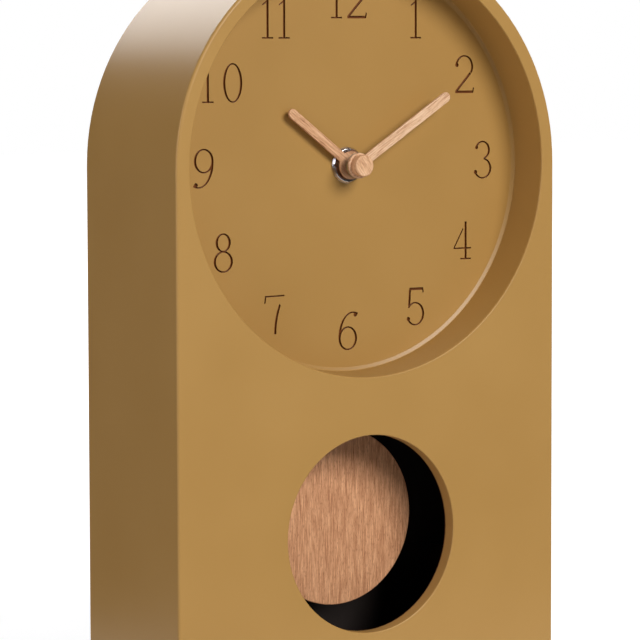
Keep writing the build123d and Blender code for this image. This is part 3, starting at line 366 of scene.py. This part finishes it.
minute_turn = radians(57.6)
hour_turn = radians(307.0)
cap_turn = radians(-35)
bob_tones = shown(164, 108, 72), shown(203, 147, 106), shown(234, 178, 134)
minute_tones = shown(182, 128, 92), shown(220, 178, 140), shown(240, 204, 168)
hour_tones = shown(160, 104, 68), shown(206, 156, 114), shown(228, 182, 142)
cap_tones = shown(178, 124, 86), shown(218, 170, 128), shown(240, 198, 158)
bob_oak = oak("bob_oak", bob_tones, 0, 0.5, 0.7, 22)
minute_oak = oak("minute_hand_oak", minute_tones, minute_turn, 0.4, 1.0, 18)
hour_oak = oak("hour_hand_oak", hour_tones, hour_turn, 0.45, 1.0, 16)
cap_oak = oak("cap_oak", cap_tones, cap_turn, 0.3, 0.9, 8)
print("oak for the bob, the hands and the cap")

# %% [markdown]
# Metals, plastics and the rest are each one short recipe. A metal takes its colour from its reflection, so
# it is metallic with a low roughness that a fine scratch pattern varies. Moulded plastic has a fine grain.

# %% Metals, plastics, rubber, copper, board
scratch_size = 0.3 * millimetre
scratch_depth = 0.004 * millimetre
patch_size = 9 * millimetre


def darker(colour, share):
    """The same colour with its light cut to a share."""
    return tuple(share * c for c in colour[:3]) + (1,)


def metal(name, colour, rough, brushed=(1, 1, 1)):
    """Bare metal whose streaks are stretched along one axis where it is brushed."""
    finish, tree, shader = new_finish(name)
    streaks = cloud(tree, place(tree, brushed), scratch_size, detail=4)
    tone = ramp(tree, streaks, (0.3, darker(colour, 0.86)), (0.7, colour))
    tree.links.new(tone, shader.inputs["Base Color"])
    shader.inputs["Metallic"].default_value = 1
    gloss = ramp(tree, streaks, (0.3, rough * 0.8), (0.7, rough * 1.25))
    tree.links.new(gloss, shader.inputs["Roughness"])
    relief(tree, shader, streaks, scratch_depth, 0.5)
    return finish


def moulded(name, colour, rough, grain=0.25, depth=0.012, drift=0.9):
    """Plastic, rubber or board: fine lumps, sized in millimetres, and a slow drift in its colour."""
    finish, tree, shader = new_finish(name)
    where = place(tree)
    lumps = cloud(tree, where, grain * millimetre, detail=3)
    slow = cloud(tree, where, patch_size, detail=3)
    tone = ramp(tree, slow, (0.35, darker(colour, drift)), (0.65, colour))
    tree.links.new(tone, shader.inputs["Base Color"])
    gloss = ramp(tree, lumps, (0.3, rough * 0.9), (0.7, rough * 1.1))
    tree.links.new(gloss, shader.inputs["Roughness"])
    relief(tree, shader, lumps, depth * millimetre, 0.8)
    return finish


chrome = metal("polished_chrome", shown(214, 212, 216), 0.2)
steel = metal("spring_steel", shown(178, 176, 172), 0.28, (1, 1, 20))
iron = metal("soft_iron", shown(150, 146, 142), 0.4)
brass = metal("turned_brass", shown(214, 178, 102), 0.22, (1, 10, 1))
black_plastic = moulded("black_plastic", shown(38, 37, 38), 0.48)
white_plastic = moulded("white_plastic", shown(232, 229, 220), 0.4)
rubber = moulded("dark_rubber", shown(44, 42, 41), 0.75, 0.5)
magnet_black = moulded("ferrite", shown(58, 56, 58), 0.55, 0.15, 0.02)
resin = moulded("black_resin", shown(24, 24, 26), 0.3, 1.2, 0.03)
# near-black painted shade for the blocks inside the case
interior_shade_finish = moulded("interior_shade_finish", interior_shade_colour, 0.7, 0.4, 0.02)
back_board_finish = moulded("black_fibreboard", shown(54, 43, 38), 0.7, 0.35, 0.03, 0.8)
board_green = moulded("board_green", shown(38, 92, 62), 0.4, 0.4, 0.01)
copper = metal("enamelled_copper", shown(196, 112, 62), 0.3)
wrap_blue = moulded("battery_wrap", shown(52, 74, 104), 0.3, 0.6, 0.006)
print("metals, plastics, rubber, copper and board")

# %% [markdown]
# Each node of the frame takes one of these finishes. Its mesh stays as the CAD model made it.

# %% Finish each node
finish_of = {
    case_lacquer_and_shade: ["front_panel", "arch_surround", "base_panel"],
    dial_lacquer_and_shade: ["dial_ring", "dial_plate"],
    # the screw blocks take the near-black painted shade, so they stay dark through the window
    interior_shade_finish: ["screw_blocks"],
    back_board_finish: ["back_panel"],
    rubber: ["feet", "dial_gasket"],
    chrome: ["dial_nut", "dial_washer"],
    steel: ["back_screws", "minute_collet", "hour_collet", "pendulum_rod", "pivot_pin", "negative_contact",
            "positive_contact", "quartz_crystal", "battery"],
    iron: ["stator", "coil_core"],
    brass: ["threaded_bush", "minute_arbor"],
    black_plastic: ["movement_housing", "movement_cover", "pendulum_box", "pendulum_box_cover",
                    "pendulum_rocker", "bob_clip", "drive_bobbin"],
    white_plastic: ["middle_plate", "setting_knob", "hour_wheel", "change_wheel", "centre_wheel",
                    "third_wheel", "second_wheel", "intermediate_wheel", "coil_bobbin"],
    magnet_black: ["rotor", "rocker_magnet"],
    resin: ["controller_chip"],
    copper: ["motor_coil", "drive_coil"],
    board_green: ["circuit_board"],
    bob_oak: ["bob_disc"],
    minute_oak: ["minute_hand"],
    hour_oak: ["hour_hand"],
    cap_oak: ["centre_cap"],
}
for finish, names in finish_of.items():
    for name in names:
        nodes[name].data.materials.clear()
        nodes[name].data.materials.append(finish)
finished = {name for names in finish_of.values() for name in names}
print("nodes without a finish:", sorted(set(nodes) - finished))

# %% [markdown]
# The finer pieces are surfaces worked out with numpy. Each starts as a grid of points, rows by columns, and
# every four neighbours make a face. A round piece is a profile carried round an axis: the profile is drawn
# as straight runs, and its corners are rounded by a formula, because a real edge is never quite sharp and it
# is the rounding that catches the light.

# %% Surfaces from grids
axes = {"X": ((1, 0, 0), (0, 1, 0), (0, 0, 1)),
        "Y": ((0, 1, 0), (1, 0, 0), (0, 0, 1)),
        "Z": ((0, 0, 1), (1, 0, 0), (0, 1, 0))}


def surface(name, grid, finish, body, replaced=(), sharp=32, joined_rows=True):
    """A mesh from a grid: the last column joins the first, and so do the rows unless joined_rows is false.
    Points that meet are merged, which closes poles and seams, and the faces are turned outwards."""
    rows, columns = grid.shape[:2]
    here = np.arange(rows * columns).reshape(rows, columns)
    beside = np.roll(here, -1, axis=1)
    after = np.roll(here, -1, axis=0)
    faces = np.stack([here, beside, np.roll(after, -1, axis=1), after], axis=-1)
    if not joined_rows:
        faces = faces[:-1]
    mesh = bpy.data.meshes.new(name)
    mesh.from_pydata(grid.reshape(-1, 3).tolist(), [], faces.reshape(-1, 4).tolist())
    shell = bmesh.new()
    shell.from_mesh(mesh)
    bmesh.ops.remove_doubles(shell, verts=shell.verts, dist=0.0005 * millimetre)
    bmesh.ops.recalc_face_normals(shell, faces=shell.faces)
    shell.to_mesh(mesh)
    shell.free()
    mesh.shade_smooth()
    mesh.set_sharp_from_angle(angle=radians(sharp))
    mesh.materials.append(finish)
    piece = bpy.data.objects.new(name, mesh)
    studio.collection.objects.link(piece)
    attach(piece, body)
    if replaced:
        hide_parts(*replaced)
    print(name, "has", len(mesh.polygons), "faces")


def rounded(points, radii, steps=6):
    """The same closed runs with round corners: each arc touches both runs, and its centre lies on the
    corner's bisector, at the radius divided by the sine of half the corner's angle."""
    points = np.array(points, float)
    path = []
    for before, corner, after, radius in zip(np.roll(points, 1, 0), points, np.roll(points, -1, 0), radii):
        if radius == 0:
            path.append(corner[None])
            continue
        back = (before - corner) / np.linalg.norm(before - corner)
        forth = (after - corner) / np.linalg.norm(after - corner)
        half = np.arccos(np.clip(back @ forth, -1, 1)) / 2
        bisector = (back + forth) / np.linalg.norm(back + forth)
        centre = corner + bisector * radius / np.sin(half)
        first = corner + back * radius / np.tan(half) - centre
        last = corner + forth * radius / np.tan(half) - centre
        turn = np.pi - 2 * half
        share = np.linspace(0, 1, steps + 1)[:, None]
        arc = (np.sin((1 - share) * turn) * first + np.sin(share * turn) * last) / np.sin(turn)
        path.append(centre + arc)
    return np.concatenate(path)


def turned(profile, axis, middle, count=128, swell=None):
    """A profile of (along, radius) points in millimetres, carried round an axis: at turn t a point is the
    middle + along * axis + radius * (cos t * side + sin t * third). swell may change the radius with t."""
    along_axis, side, third = np.array(axes[axis], float)
    profile = np.array(profile, float)
    turn = np.linspace(0, 2 * np.pi, count, endpoint=False)
    radius = np.repeat(profile[:, 1:], count, axis=1)
    if swell is not None:
        radius = swell(radius, turn)
    around = np.cos(turn)[:, None] * side + np.sin(turn)[:, None] * third
    grid = profile[:, 0][:, None, None] * along_axis + radius[:, :, None] * around
    return grid * millimetre + np.array(middle)


def span(name):
    """A node's lowest and highest corner and its middle, in metres."""
    low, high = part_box(name)
    return np.array(low), np.array(high), (np.array(low) + np.array(high)) / 2


case_front = span("front_panel")[0][1]
dial_axis = np.array([0, case_front, span("dial_nut")[2][2]])
print("the dial's axis is at", dial_axis.round(4), "and depths are counted from it, in millimetres")

# %% [markdown]
# The dial sits in a deep round recess. Its wall is one sprayed surface from the rim to the floor, with no
# joint to be seen, and it meets the floor in a narrow bevel that catches a thin line of light. The profile
# starts just inside the front board's rounded rim and hides the joint behind the board.

# %% Wall of the dial recess
recess_radius = 84.0
recess_draft = 1.1
recess_depth = (span("dial_ring")[1][1] - case_front) / millimetre
ring_front = (span("dial_ring")[0][1] - case_front) / millimetre
ring_radius = span("dial_ring")[1][0] / millimetre
lining = 0.1
wall_start = 0.6
bevel_width = 1.5
bevel_rise = 0.55


def wall_radius(depth):
    """The recess narrows evenly from the rim to the floor."""
    return recess_radius - recess_draft * depth / recess_depth


bevel_depth = recess_depth - bevel_rise
wall_foot = wall_radius(bevel_depth) - lining
wall_points = [(wall_start, wall_radius(wall_start) - lining), (bevel_depth, wall_foot),
               (recess_depth, wall_foot - bevel_width), (recess_depth + lining, wall_foot - bevel_width),
               (recess_depth + lining, ring_radius), (ring_front, ring_radius),
               (ring_front, wall_radius(ring_front)), (wall_start, wall_radius(wall_start))]
wall_profile = rounded(wall_points, [0, 0.3, 0, 0, 0, 0, 0, 0], steps=8)
wall_grid = turned(wall_profile, "Y", dial_axis, 288)
surface("dial_wall", wall_grid, dial_lacquer_and_shade, "case", ["dial_ring"])

# %% [markdown]
# The round nut that clamps the movement is polished, with a broad bevel round its rim. The flat face mirrors
# the dark room in front, the bevel mirrors the left softbox at its left and the dial elsewhere, and the
# rounded edge between them is one thin bright ring. Two slots for the key cross the nut: where a point's
# distance from the slot's middle line is small, it is lower.

# %% Nut
nut_low, nut_high, _ = span("dial_nut")
nut_outer = (nut_high[0] - nut_low[0]) / 2 / millimetre
nut_front = (nut_low[1] - case_front) / millimetre
nut_back = (nut_high[1] - case_front) / millimetre
nut_bore = 4.0
slot_half_width = 0.55
slot_depth = 0.5
nut_bevel = 0.75
nut_rim = 0.18
nut_dish = 0.08
nut_points = [(nut_front + nut_dish, nut_bore), (nut_front, nut_outer - nut_bevel),
              (nut_back - nut_rim, nut_outer), (nut_back, nut_outer), (nut_back, nut_bore)]
nut_profile = rounded(nut_points, [0, 0.4, 0.08, 0.05, 0], steps=10)
nut_grid = turned(nut_profile, "Y", dial_axis, 360)
from_axis = np.abs(nut_grid - dial_axis)
near_slot = np.minimum(from_axis[:, :, 0], from_axis[:, :, 2])
slot_floor = case_front + (nut_front + slot_depth) * millimetre
lowered = np.maximum(nut_grid[:, :, 1], slot_floor)
nut_grid[:, :, 1] = np.where(near_slot < slot_half_width * millimetre, lowered, nut_grid[:, :, 1])
surface("nut", nut_grid, chrome, "case", ["dial_nut"])

# %% [markdown]
# Each hand is a thin slip of oak with a round hub. Seen from the front its outline is the hub's arc, a small
# hollow at each side of the neck, the straight blade and its half-round tip. The outline is star-shaped
# about the axis, so that the face is a grid between the bore and the outline, and the soft edge is a quarter
# circle that pulls the outline in along its own normal.

# %% Hands


def hand_outline(length, width, hub, neck):
    """The outline pointing up, anticlockwise from the hub's foot. The hollow's centre is at the blade's half
    width plus the hollow's radius to the side, and the two radii added up away from the axis."""
    half = width / 2
    side = half + neck
    height = np.sqrt((hub + neck) ** 2 - side ** 2)
    join = np.arctan2(height, side)
    hub_turn = np.linspace(-np.pi / 2, join, 40, endpoint=False)
    neck_turn = np.linspace(join + np.pi, np.pi, 8)
    tip_turn = np.linspace(0, np.pi / 2, 14, endpoint=False)
    rise = np.linspace(height, length - half, 12)[1:-1]
    right = np.concatenate([
        np.stack([hub * np.cos(hub_turn), hub * np.sin(hub_turn)], 1),
        np.stack([side + neck * np.cos(neck_turn), height + neck * np.sin(neck_turn)], 1),
        np.stack([np.full(len(rise), half), rise], 1),
        np.stack([half * np.cos(tip_turn), length - half + half * np.sin(tip_turn)], 1)])
    left = right[:0:-1] * [-1, 1]
    return np.concatenate([right, [[0, length]], left])


def hand_grid(outline, bore, front, back, edge, angle):
    """Rows run over the section: up the bore's wall, over the face, round the soft edge, down the side and
    back over the rear face. Every row is the outline, drawn in along its normal or shrunk to the bore, and
    the whole is turned clockwise by the angle."""
    tangent = np.roll(outline, -1, 0) - np.roll(outline, 1, 0)
    outward = np.stack([tangent[:, 1], -tangent[:, 0]], 1) / np.linalg.norm(tangent, axis=1)[:, None]
    quarter = np.linspace(0, np.pi / 2, 7)
    drawn_in = np.concatenate([[edge * 1.3], edge * (1 - np.sin(quarter)), [0]])
    depth = np.concatenate([[back, front, front], front + edge * (1 - np.cos(quarter)), [back]])
    rings = outline[None] - drawn_in[:, None, None] * outward[None]
    hole = bore * outline / np.linalg.norm(outline, axis=1)[:, None]
    flat = np.concatenate([hole[None], hole[None], rings])
    x = flat[:, :, 0] * np.cos(angle) + flat[:, :, 1] * np.sin(angle)
    z = flat[:, :, 1] * np.cos(angle) - flat[:, :, 0] * np.sin(angle)
    y = np.repeat(depth[:, None], flat.shape[1], axis=1)
    return np.stack([x, y, z], -1) * millimetre + dial_axis


hand_edge = 0.28
neck_hollow = 0.5


def hand(name, node, finish, body, length, width, bore, angle):
    """One hand, whose depths and hub come from its node in the frame."""
    low, high, _ = span(node)
    front = (low[1] - case_front) / millimetre
    back = (high[1] - case_front) / millimetre
    hub = (dial_axis[2] - low[2]) / millimetre
    outline = hand_outline(length, width, hub, neck_hollow)
    grid = hand_grid(outline, bore, front, back, hand_edge, angle)
    surface(name, grid, finish, body, [node])


hand("minute_slip", "minute_hand", minute_oak, "minute_set", 52.0, 4.1, 1.52, minute_turn)
hand("hour_slip", "hour_hand", hour_oak, "hour_set", 36.7, 3.9, 3.12, hour_turn)

# %% [markdown]
# The cap on the minute hand and the bob are turned on a lathe, so each is a profile carried round the axis.
# The cap's front edge is well rounded by sanding; the bob's edge is crisp.

# %% Cap and bob


def lathe_disc(name, node, finish, body, front_round, back_round, crown):
    """A disc with a slightly crowned face, as thick and wide as its node."""
    low, high, middle = span(node)
    front = (low[1] - case_front) / millimetre
    back = (high[1] - case_front) / millimetre
    radius = (high[0] - low[0]) / 2 / millimetre
    points = [(front, 0), (front + crown, radius), (back, radius), (back, 0)]
    profile = rounded(points, [0, front_round, back_round, 0], steps=8)
    centre = np.array([middle[0], case_front, middle[2]])
    surface(name, turned(profile, "Y", centre, 160), finish, body, [node])


lathe_disc("cap", "centre_cap", cap_oak, "minute_set", 0.7, 0.05, 0.06)
lathe_disc("bob", "bob_disc", bob_oak, "pendulum", 0.5, 0.4, 0.0)

# %% [markdown]
# Four rubber feet keep the base off the table. Each is a low pad with a rounded rim and a shallow groove in
# its underside, where the mould's plug sat, and again it is a profile carried round an axis.

# %% Feet
feet_low, feet_high, feet_middle = span("feet")
foot_height = feet_high[2] / millimetre
foot_radius = 7.0
foot_top_share = 0.985
groove_depth = 0.35
groove_start, floor_start, floor_end, groove_end = foot_radius * np.array([0.45, 0.52, 0.62, 0.7])
foot_spread = (feet_high - feet_low)[:2] / 2 - foot_radius * millimetre
foot_points = [(0, 0), (0, groove_start), (groove_depth, floor_start), (groove_depth, floor_end),
               (0, groove_end), (0, foot_radius), (foot_height, foot_radius * foot_top_share),
               (foot_height, 0)]
foot_profile = rounded(foot_points, [0, 0.1, 0.1, 0.1, 0.1, 0.45, 0.1, 0], steps=5)
for number, (side_x, side_y) in enumerate([(-1, -1), (1, -1), (-1, 1), (1, 1)], 1):
    foot_place = [side_x * foot_spread[0], feet_middle[1] + side_y * foot_spread[1], 0]
    foot_grid = turned(foot_profile, "Z", foot_place, 96)
    surface(f"foot_{number}", foot_grid, rubber, "case", ["feet"])

# %% [markdown]
# The cell is a steel can in a printed sleeve. The can's closed end has a raised disc, its other end a button
# on an insulating ring. The sleeve is a separate thin tube whose ends shrink over the can's shoulders.

# %% Battery
cell_low, cell_high, cell_middle = span("battery")
cell_length = (cell_high[0] - cell_low[0]) / millimetre
cell_radius = (cell_high[2] - cell_low[2]) / 2 / millimetre
button_length, button_radius = 1.3, 2.75
sleeve_wall = 0.12
can_end = cell_length - button_length
can_radius = cell_radius - sleeve_wall
bead_start, bead_end, bead_depth = can_end - 1.6, can_end - 0.9, 0.35
rim_end, ring_level = can_end - 0.1, can_end - 0.4
cell_start = [cell_low[0], cell_middle[1], cell_middle[2]]
closed_end = [(0.12, 0), (0.12, 3.1), (0, 3.3), (0, 5.1), (0.3, 5.5), (0.3, can_radius)]
bead = [(bead_start, can_radius), (bead_start, can_radius - bead_depth),
        (bead_end, can_radius - bead_depth), (bead_end, can_radius)]
button_end = [(rim_end, can_radius), (rim_end, 4.6), (ring_level, 4.3), (ring_level, button_radius + 0.2),
              (can_end, button_radius), (cell_length, button_radius), (cell_length, 0)]
can_rounds = [0, 0.1, 0.1, 0.2, 0.2, 0.55, 0.2, 0.15, 0.15, 0.2, 0.45, 0.15, 0.1, 0.1, 0.1, 0.4, 0]
can_profile = rounded(closed_end + bead + button_end, can_rounds, steps=5)
can_grid = turned(can_profile, "X", cell_start, 128)
surface("battery_can", can_grid, steel, "case", ["battery"])
closed_lip, button_lip, sleeve_inside = cell_radius - 1.1, cell_radius - 1.3, can_radius - 0.05
sleeve_points = [(0.22, closed_lip), (0.12, cell_radius), (can_end, cell_radius), (can_end, button_lip),
                 (can_end - sleeve_wall * 0.7, button_lip), (can_end - sleeve_wall, sleeve_inside),
                 (0.5, sleeve_inside), (0.3, closed_lip)]
sleeve_profile = rounded(sleeve_points, [0, 0.5, 0.5, 0, 0, 0.3, 0.2, 0], steps=6)
sleeve_grid = turned(sleeve_profile, "X", cell_start, 128)
surface("battery_sleeve", sleeve_grid, wrap_blue, "case", ["battery"])

# %% [markdown]
# The setting knob at the back is ribbed for the fingertip. At turn t its rim's radius is drawn in by a share
# that peaks sixteen times round, as cos(16 t) cubed does, and the dished back face stays round.

# %% Setting knob
knob_low, knob_high, knob_middle = span("setting_knob")
knob_front = (knob_low[1] - case_front) / millimetre
knob_back = (knob_high[1] - case_front) / millimetre
knob_radius = (knob_high[0] - knob_low[0]) / 2 / millimetre
knob_grips = 16
grip_share = 0.06
knob_dish = knob_back - 0.7
knob_boss = knob_back - 0.2


def ribbed(radius, turn):
    """The radius, less up to 6 % of it where it is near the rim: (half of 1 + cos 16 t) cubed."""
    groove = (0.5 + 0.5 * np.cos(knob_grips * turn)) ** 3
    near_rim = np.clip((radius - 0.75 * knob_radius) / (0.2 * knob_radius), 0, 1)
    return radius * (1 - grip_share * groove * near_rim)


knob_points = [(knob_front, 0), (knob_front, knob_radius - 0.3), (knob_front + 0.3, knob_radius),
               (knob_back, knob_radius), (knob_back, knob_radius - 1.3), (knob_dish, knob_radius - 1.9),
               (knob_dish, 1.5), (knob_boss, 1.2), (knob_boss, 0)]
knob_profile = rounded(knob_points, [0, 0.1, 0.1, 0.45, 0.2, 0.3, 0.2, 0.15, 0], steps=5)
knob_place = [knob_middle[0], case_front, knob_middle[2]]
knob_grid = turned(knob_profile, "Y", knob_place, 320, ribbed)
surface("knob", knob_grid, white_plastic, "change_set", ["setting_knob"])

# %% [markdown]
# The lid of the movement has raised marks that tell the owner what to do: a bent arrow by the knob for the
# turning direction, a frame line round the edge, and the signs of the two poles beside the cell. They are
# moulded with the lid, so each is a low ridge: a half-round section carried along its own line.

# %% Marks on the movement
_, lid_high, lid_middle = span("movement_cover")
mark_height = 0.25
line_half = 0.32
frame_half = 0.28
arrow_radius = 8.0
frame_inset = 1.6
frame_squareness = 0.12
sign_middle = 22.2
sign_half = 1.6
sign_rise = 2.6


def ridge(name, line, half_width, closed=False):
    """A low ridge along a line of (x, z) points in millimetres, on the lid's back. Across the line it is
    a half circle squashed to the mark's height; an open line's ends shrink to points."""
    line = np.array(line, float)
    if closed:
        ahead = np.roll(line, -1, 0) - np.roll(line, 1, 0)
    else:
        ahead = np.gradient(line, axis=0)
    ahead = ahead / np.linalg.norm(ahead, axis=1)[:, None]
    across = np.stack([ahead[:, 1], -ahead[:, 0]], 1)
    turn = np.linspace(0, 2 * np.pi, 12, endpoint=False)
    size = np.ones(len(line))
    if not closed:
        size[[0, -1]] = 0
    spot = line[:, None] + (half_width * size)[:, None, None] * np.cos(turn)[None, :, None] * across[:, None]
    rise = np.maximum(np.sin(turn), -0.3)[None, :] * mark_height * size[:, None]
    grid = np.stack([spot[:, :, 0], lid_high[1] / millimetre + rise, spot[:, :, 1]], -1) * millimetre
    surface(name, grid, black_plastic, "case", sharp=60, joined_rows=closed)


def straight(start, end, count=12):
    """Points along a straight line, close together at its ends, so that the ridge's ends are blunt."""
    share = np.concatenate([[0, 0.01], np.linspace(0.04, 0.96, count), [0.99, 1]])[:, None]
    return np.array(start) + share * (np.array(end) - np.array(start))


knob_centre = knob_middle[[0, 2]] / millimetre
arrow_turn = np.radians(np.linspace(200, 110, 32))
arrow_line = knob_centre + arrow_radius * np.stack([np.cos(arrow_turn), np.sin(arrow_turn)], 1)
arrow_tip = arrow_line[-1]
ridge("mark_arrow_bow", arrow_line, line_half)
ridge("mark_arrow_barb_1", straight(arrow_tip, arrow_tip + [-2.1, 0.6]), line_half)
ridge("mark_arrow_barb_2", straight(arrow_tip, arrow_tip + [-1.1, -1.9]), line_half)
lid_half = (lid_high - lid_middle)[[0, 2]] / millimetre - frame_inset
frame_turn = np.linspace(0, 2 * np.pi, 160, endpoint=False)
round_line = np.stack([np.cos(frame_turn), np.sin(frame_turn)], 1)
frame_line = np.sign(round_line) * np.abs(round_line) ** frame_squareness * lid_half
ridge("mark_frame", frame_line + lid_middle[[0, 2]] / millimetre, frame_half, closed=True)
sign_z = lid_middle[2] / millimetre - lid_half[1] + sign_rise
near_end, far_end = sign_middle - sign_half, sign_middle + sign_half
sign_foot, sign_top = sign_z - sign_half, sign_z + sign_half
for name, start, end in (("mark_plus_across", (near_end, sign_z), (far_end, sign_z)),
                         ("mark_plus_up", (sign_middle, sign_foot), (sign_middle, sign_top)),
                         ("mark_minus", (-far_end, sign_z), (-near_end, sign_z))):
    ridge(name, straight(start, end), line_half)

# %% [markdown]
# Each coil is wound with enamelled wire. Its outer layer is one wire: a helix whose point at turn t is
# middle + pitch * t / (2 pi) along the axis and the radius across it, with a small circle carried along it.
# The turns below that layer are never seen apart, so they are one solid ring under it.

# %% Windings
turns_gap = 0.1
turns_crown = 0.05
steps_per_turn = 28


def wire_layer(axis, middle, length, radius, wire):
    """A grid for one helix of round wire: rows along the wire, columns round its section. The section's
    circle lies in the plane of the axis and the direction outwards, and shrinks to a point at both ends."""
    along_axis, side, third = np.array(axes[axis], float)
    turns = (length - wire) / wire
    steps = int(turns * steps_per_turn)
    share = np.linspace(0, 1, steps)
    turn = 2 * np.pi * turns * share
    along = -length / 2 + wire / 2 + (length - wire) * share
    outward = np.cos(turn)[:, None] * side + np.sin(turn)[:, None] * third
    around = np.linspace(0, 2 * np.pi, 8, endpoint=False)
    thick = np.full(steps, wire / 2)
    thick[[0, -1]] = 0
    reach = radius - wire / 2 + thick[:, None] * np.cos(around)
    shift = along[:, None] + thick[:, None] * np.sin(around)
    grid = reach[:, :, None] * outward[:, None, :] + shift[:, :, None] * along_axis
    return grid * millimetre + np.array(middle)


def winding(name, node, axis, bore, wire):
    """The outer layer of wire and the solid turns under it, in the space of the node."""
    low, high, middle = span(node)
    along = "XYZ".index(axis)
    length = (high[along] - low[along]) / millimetre
    radius = (high[2] - low[2]) / 2 / millimetre
    layer = wire_layer(axis, middle, length, radius, wire)
    surface(f"{name}_wire", layer, copper, "case", [node], sharp=80, joined_rows=False)
    half = length / 2 - turns_gap
    shoulder = radius - wire - turns_crown
    inner = [(-half, bore), (-half, shoulder), (0, radius - wire * 0.7), (half, shoulder), (half, bore)]
    under = rounded(inner, [0, 0.1, 4.0, 0.1, 0], steps=8)
    surface(f"{name}_turns", turned(under, axis, middle, 96), copper, "case", [node])


winding("motor_winding", "motor_coil", "X", 1.8, 0.36)
winding("drive_winding", "drive_coil", "Y", 1.65, 0.28)

# %% [markdown]
# The clock stands on a pale floor. Where it is seen the floor is white, as in the photograph, because its
# own light is added for rays that see it directly: less of it within 15 cm, so that the clock's shadow
# shows, and all of it from 1.2 m on. The room is dark, which is what gives polished metal its dark parts. A
# curved dark cloth stands behind the softboxes, nearly all the way round, and another lies on the floor.
# Only mirrors see them.

# %% Floor and dark room
floor_size = 12.0
light_start = 0.15
light_end = 1.2
cloth_columns = 24


def studio_floor(near_light, far_light):
    """A large pale square under the clock, whose own light grows from near_light to far_light."""
    half = floor_size / 2
    corners = [(-half, -half, 0), (half, -half, 0), (half, half, 0), (-half, half, 0)]
    mesh = bpy.data.meshes.new("studio_floor")
    mesh.from_pydata(corners, [], [(0, 1, 2, 3)])
    floor = bpy.data.objects.new("studio_floor", mesh)
    studio.collection.objects.link(floor)
    finish, tree, shader = new_finish("floor_paper")
    paper = cloud(tree, place(tree), 0.4, detail=2)
    tree.links.new(ramp(tree, paper, (0.3, 0.56), (0.7, 0.6)), shader.inputs["Base Color"])
    shader.inputs["Roughness"].default_value = 0.9
    shader.inputs["Emission Color"].default_value = (1, 1, 1, 1)
    reach = add(tree, "ShaderNodeVectorMath", {0: place(tree)}, operation="LENGTH").outputs["Value"]
    far = between(tree, reach, light_start, light_end)
    own_light = maths(tree, "ADD", near_light, maths(tree, "MULTIPLY", far, far_light - near_light))
    seen_light = maths(tree, "MULTIPLY", seen_directly(tree), own_light)
    tree.links.new(seen_light, shader.inputs["Emission Strength"])
    mesh.materials.append(finish)


def dark_cloth(section, first, last):
    """A section of (radius, height) points carried round the clock from the first angle to the last:
    x = radius * sin a, y = -radius * cos a, z = height."""
    angle = np.radians(np.linspace(first, last, cloth_columns + 1))[:, None]
    radius, height = np.array(section).T
    points = np.stack(np.broadcast_arrays(radius * np.sin(angle), -radius * np.cos(angle), height), -1)
    number = np.arange(points.shape[0] * points.shape[1]).reshape(points.shape[:2])
    corners = [number[:-1, :-1], number[1:, :-1], number[1:, 1:], number[:-1, 1:]]
    faces = np.stack(corners, -1).reshape(-1, 4)
    mesh = bpy.data.meshes.new("dark_cloth")
    mesh.from_pydata(points.reshape(-1, 3).tolist(), [], faces.tolist())
    screen = bpy.data.objects.new("dark_cloth", mesh)
    studio.collection.objects.link(screen)
    finish, tree, shader = new_finish("black_cloth")
    weave = cloud(tree, place(tree), 0.05, detail=2)
    tree.links.new(ramp(tree, weave, (0.3, 0.015), (0.7, 0.02)), shader.inputs["Base Color"])
    shader.inputs["Roughness"].default_value = 1.0
    mesh.materials.append(finish)
    screen.visible_camera = False
    screen.visible_diffuse = False
    screen.visible_shadow = False
    screen.visible_transmission = False


studio_floor(0.74, 1.0)
dark_cloth([(5.2, 7.0), (5.2, 0.0)], -170, 150)
dark_cloth([(5.2, 0.002), (0.2, 0.002)], -170, 150)
print("floor and dark cloth in place")
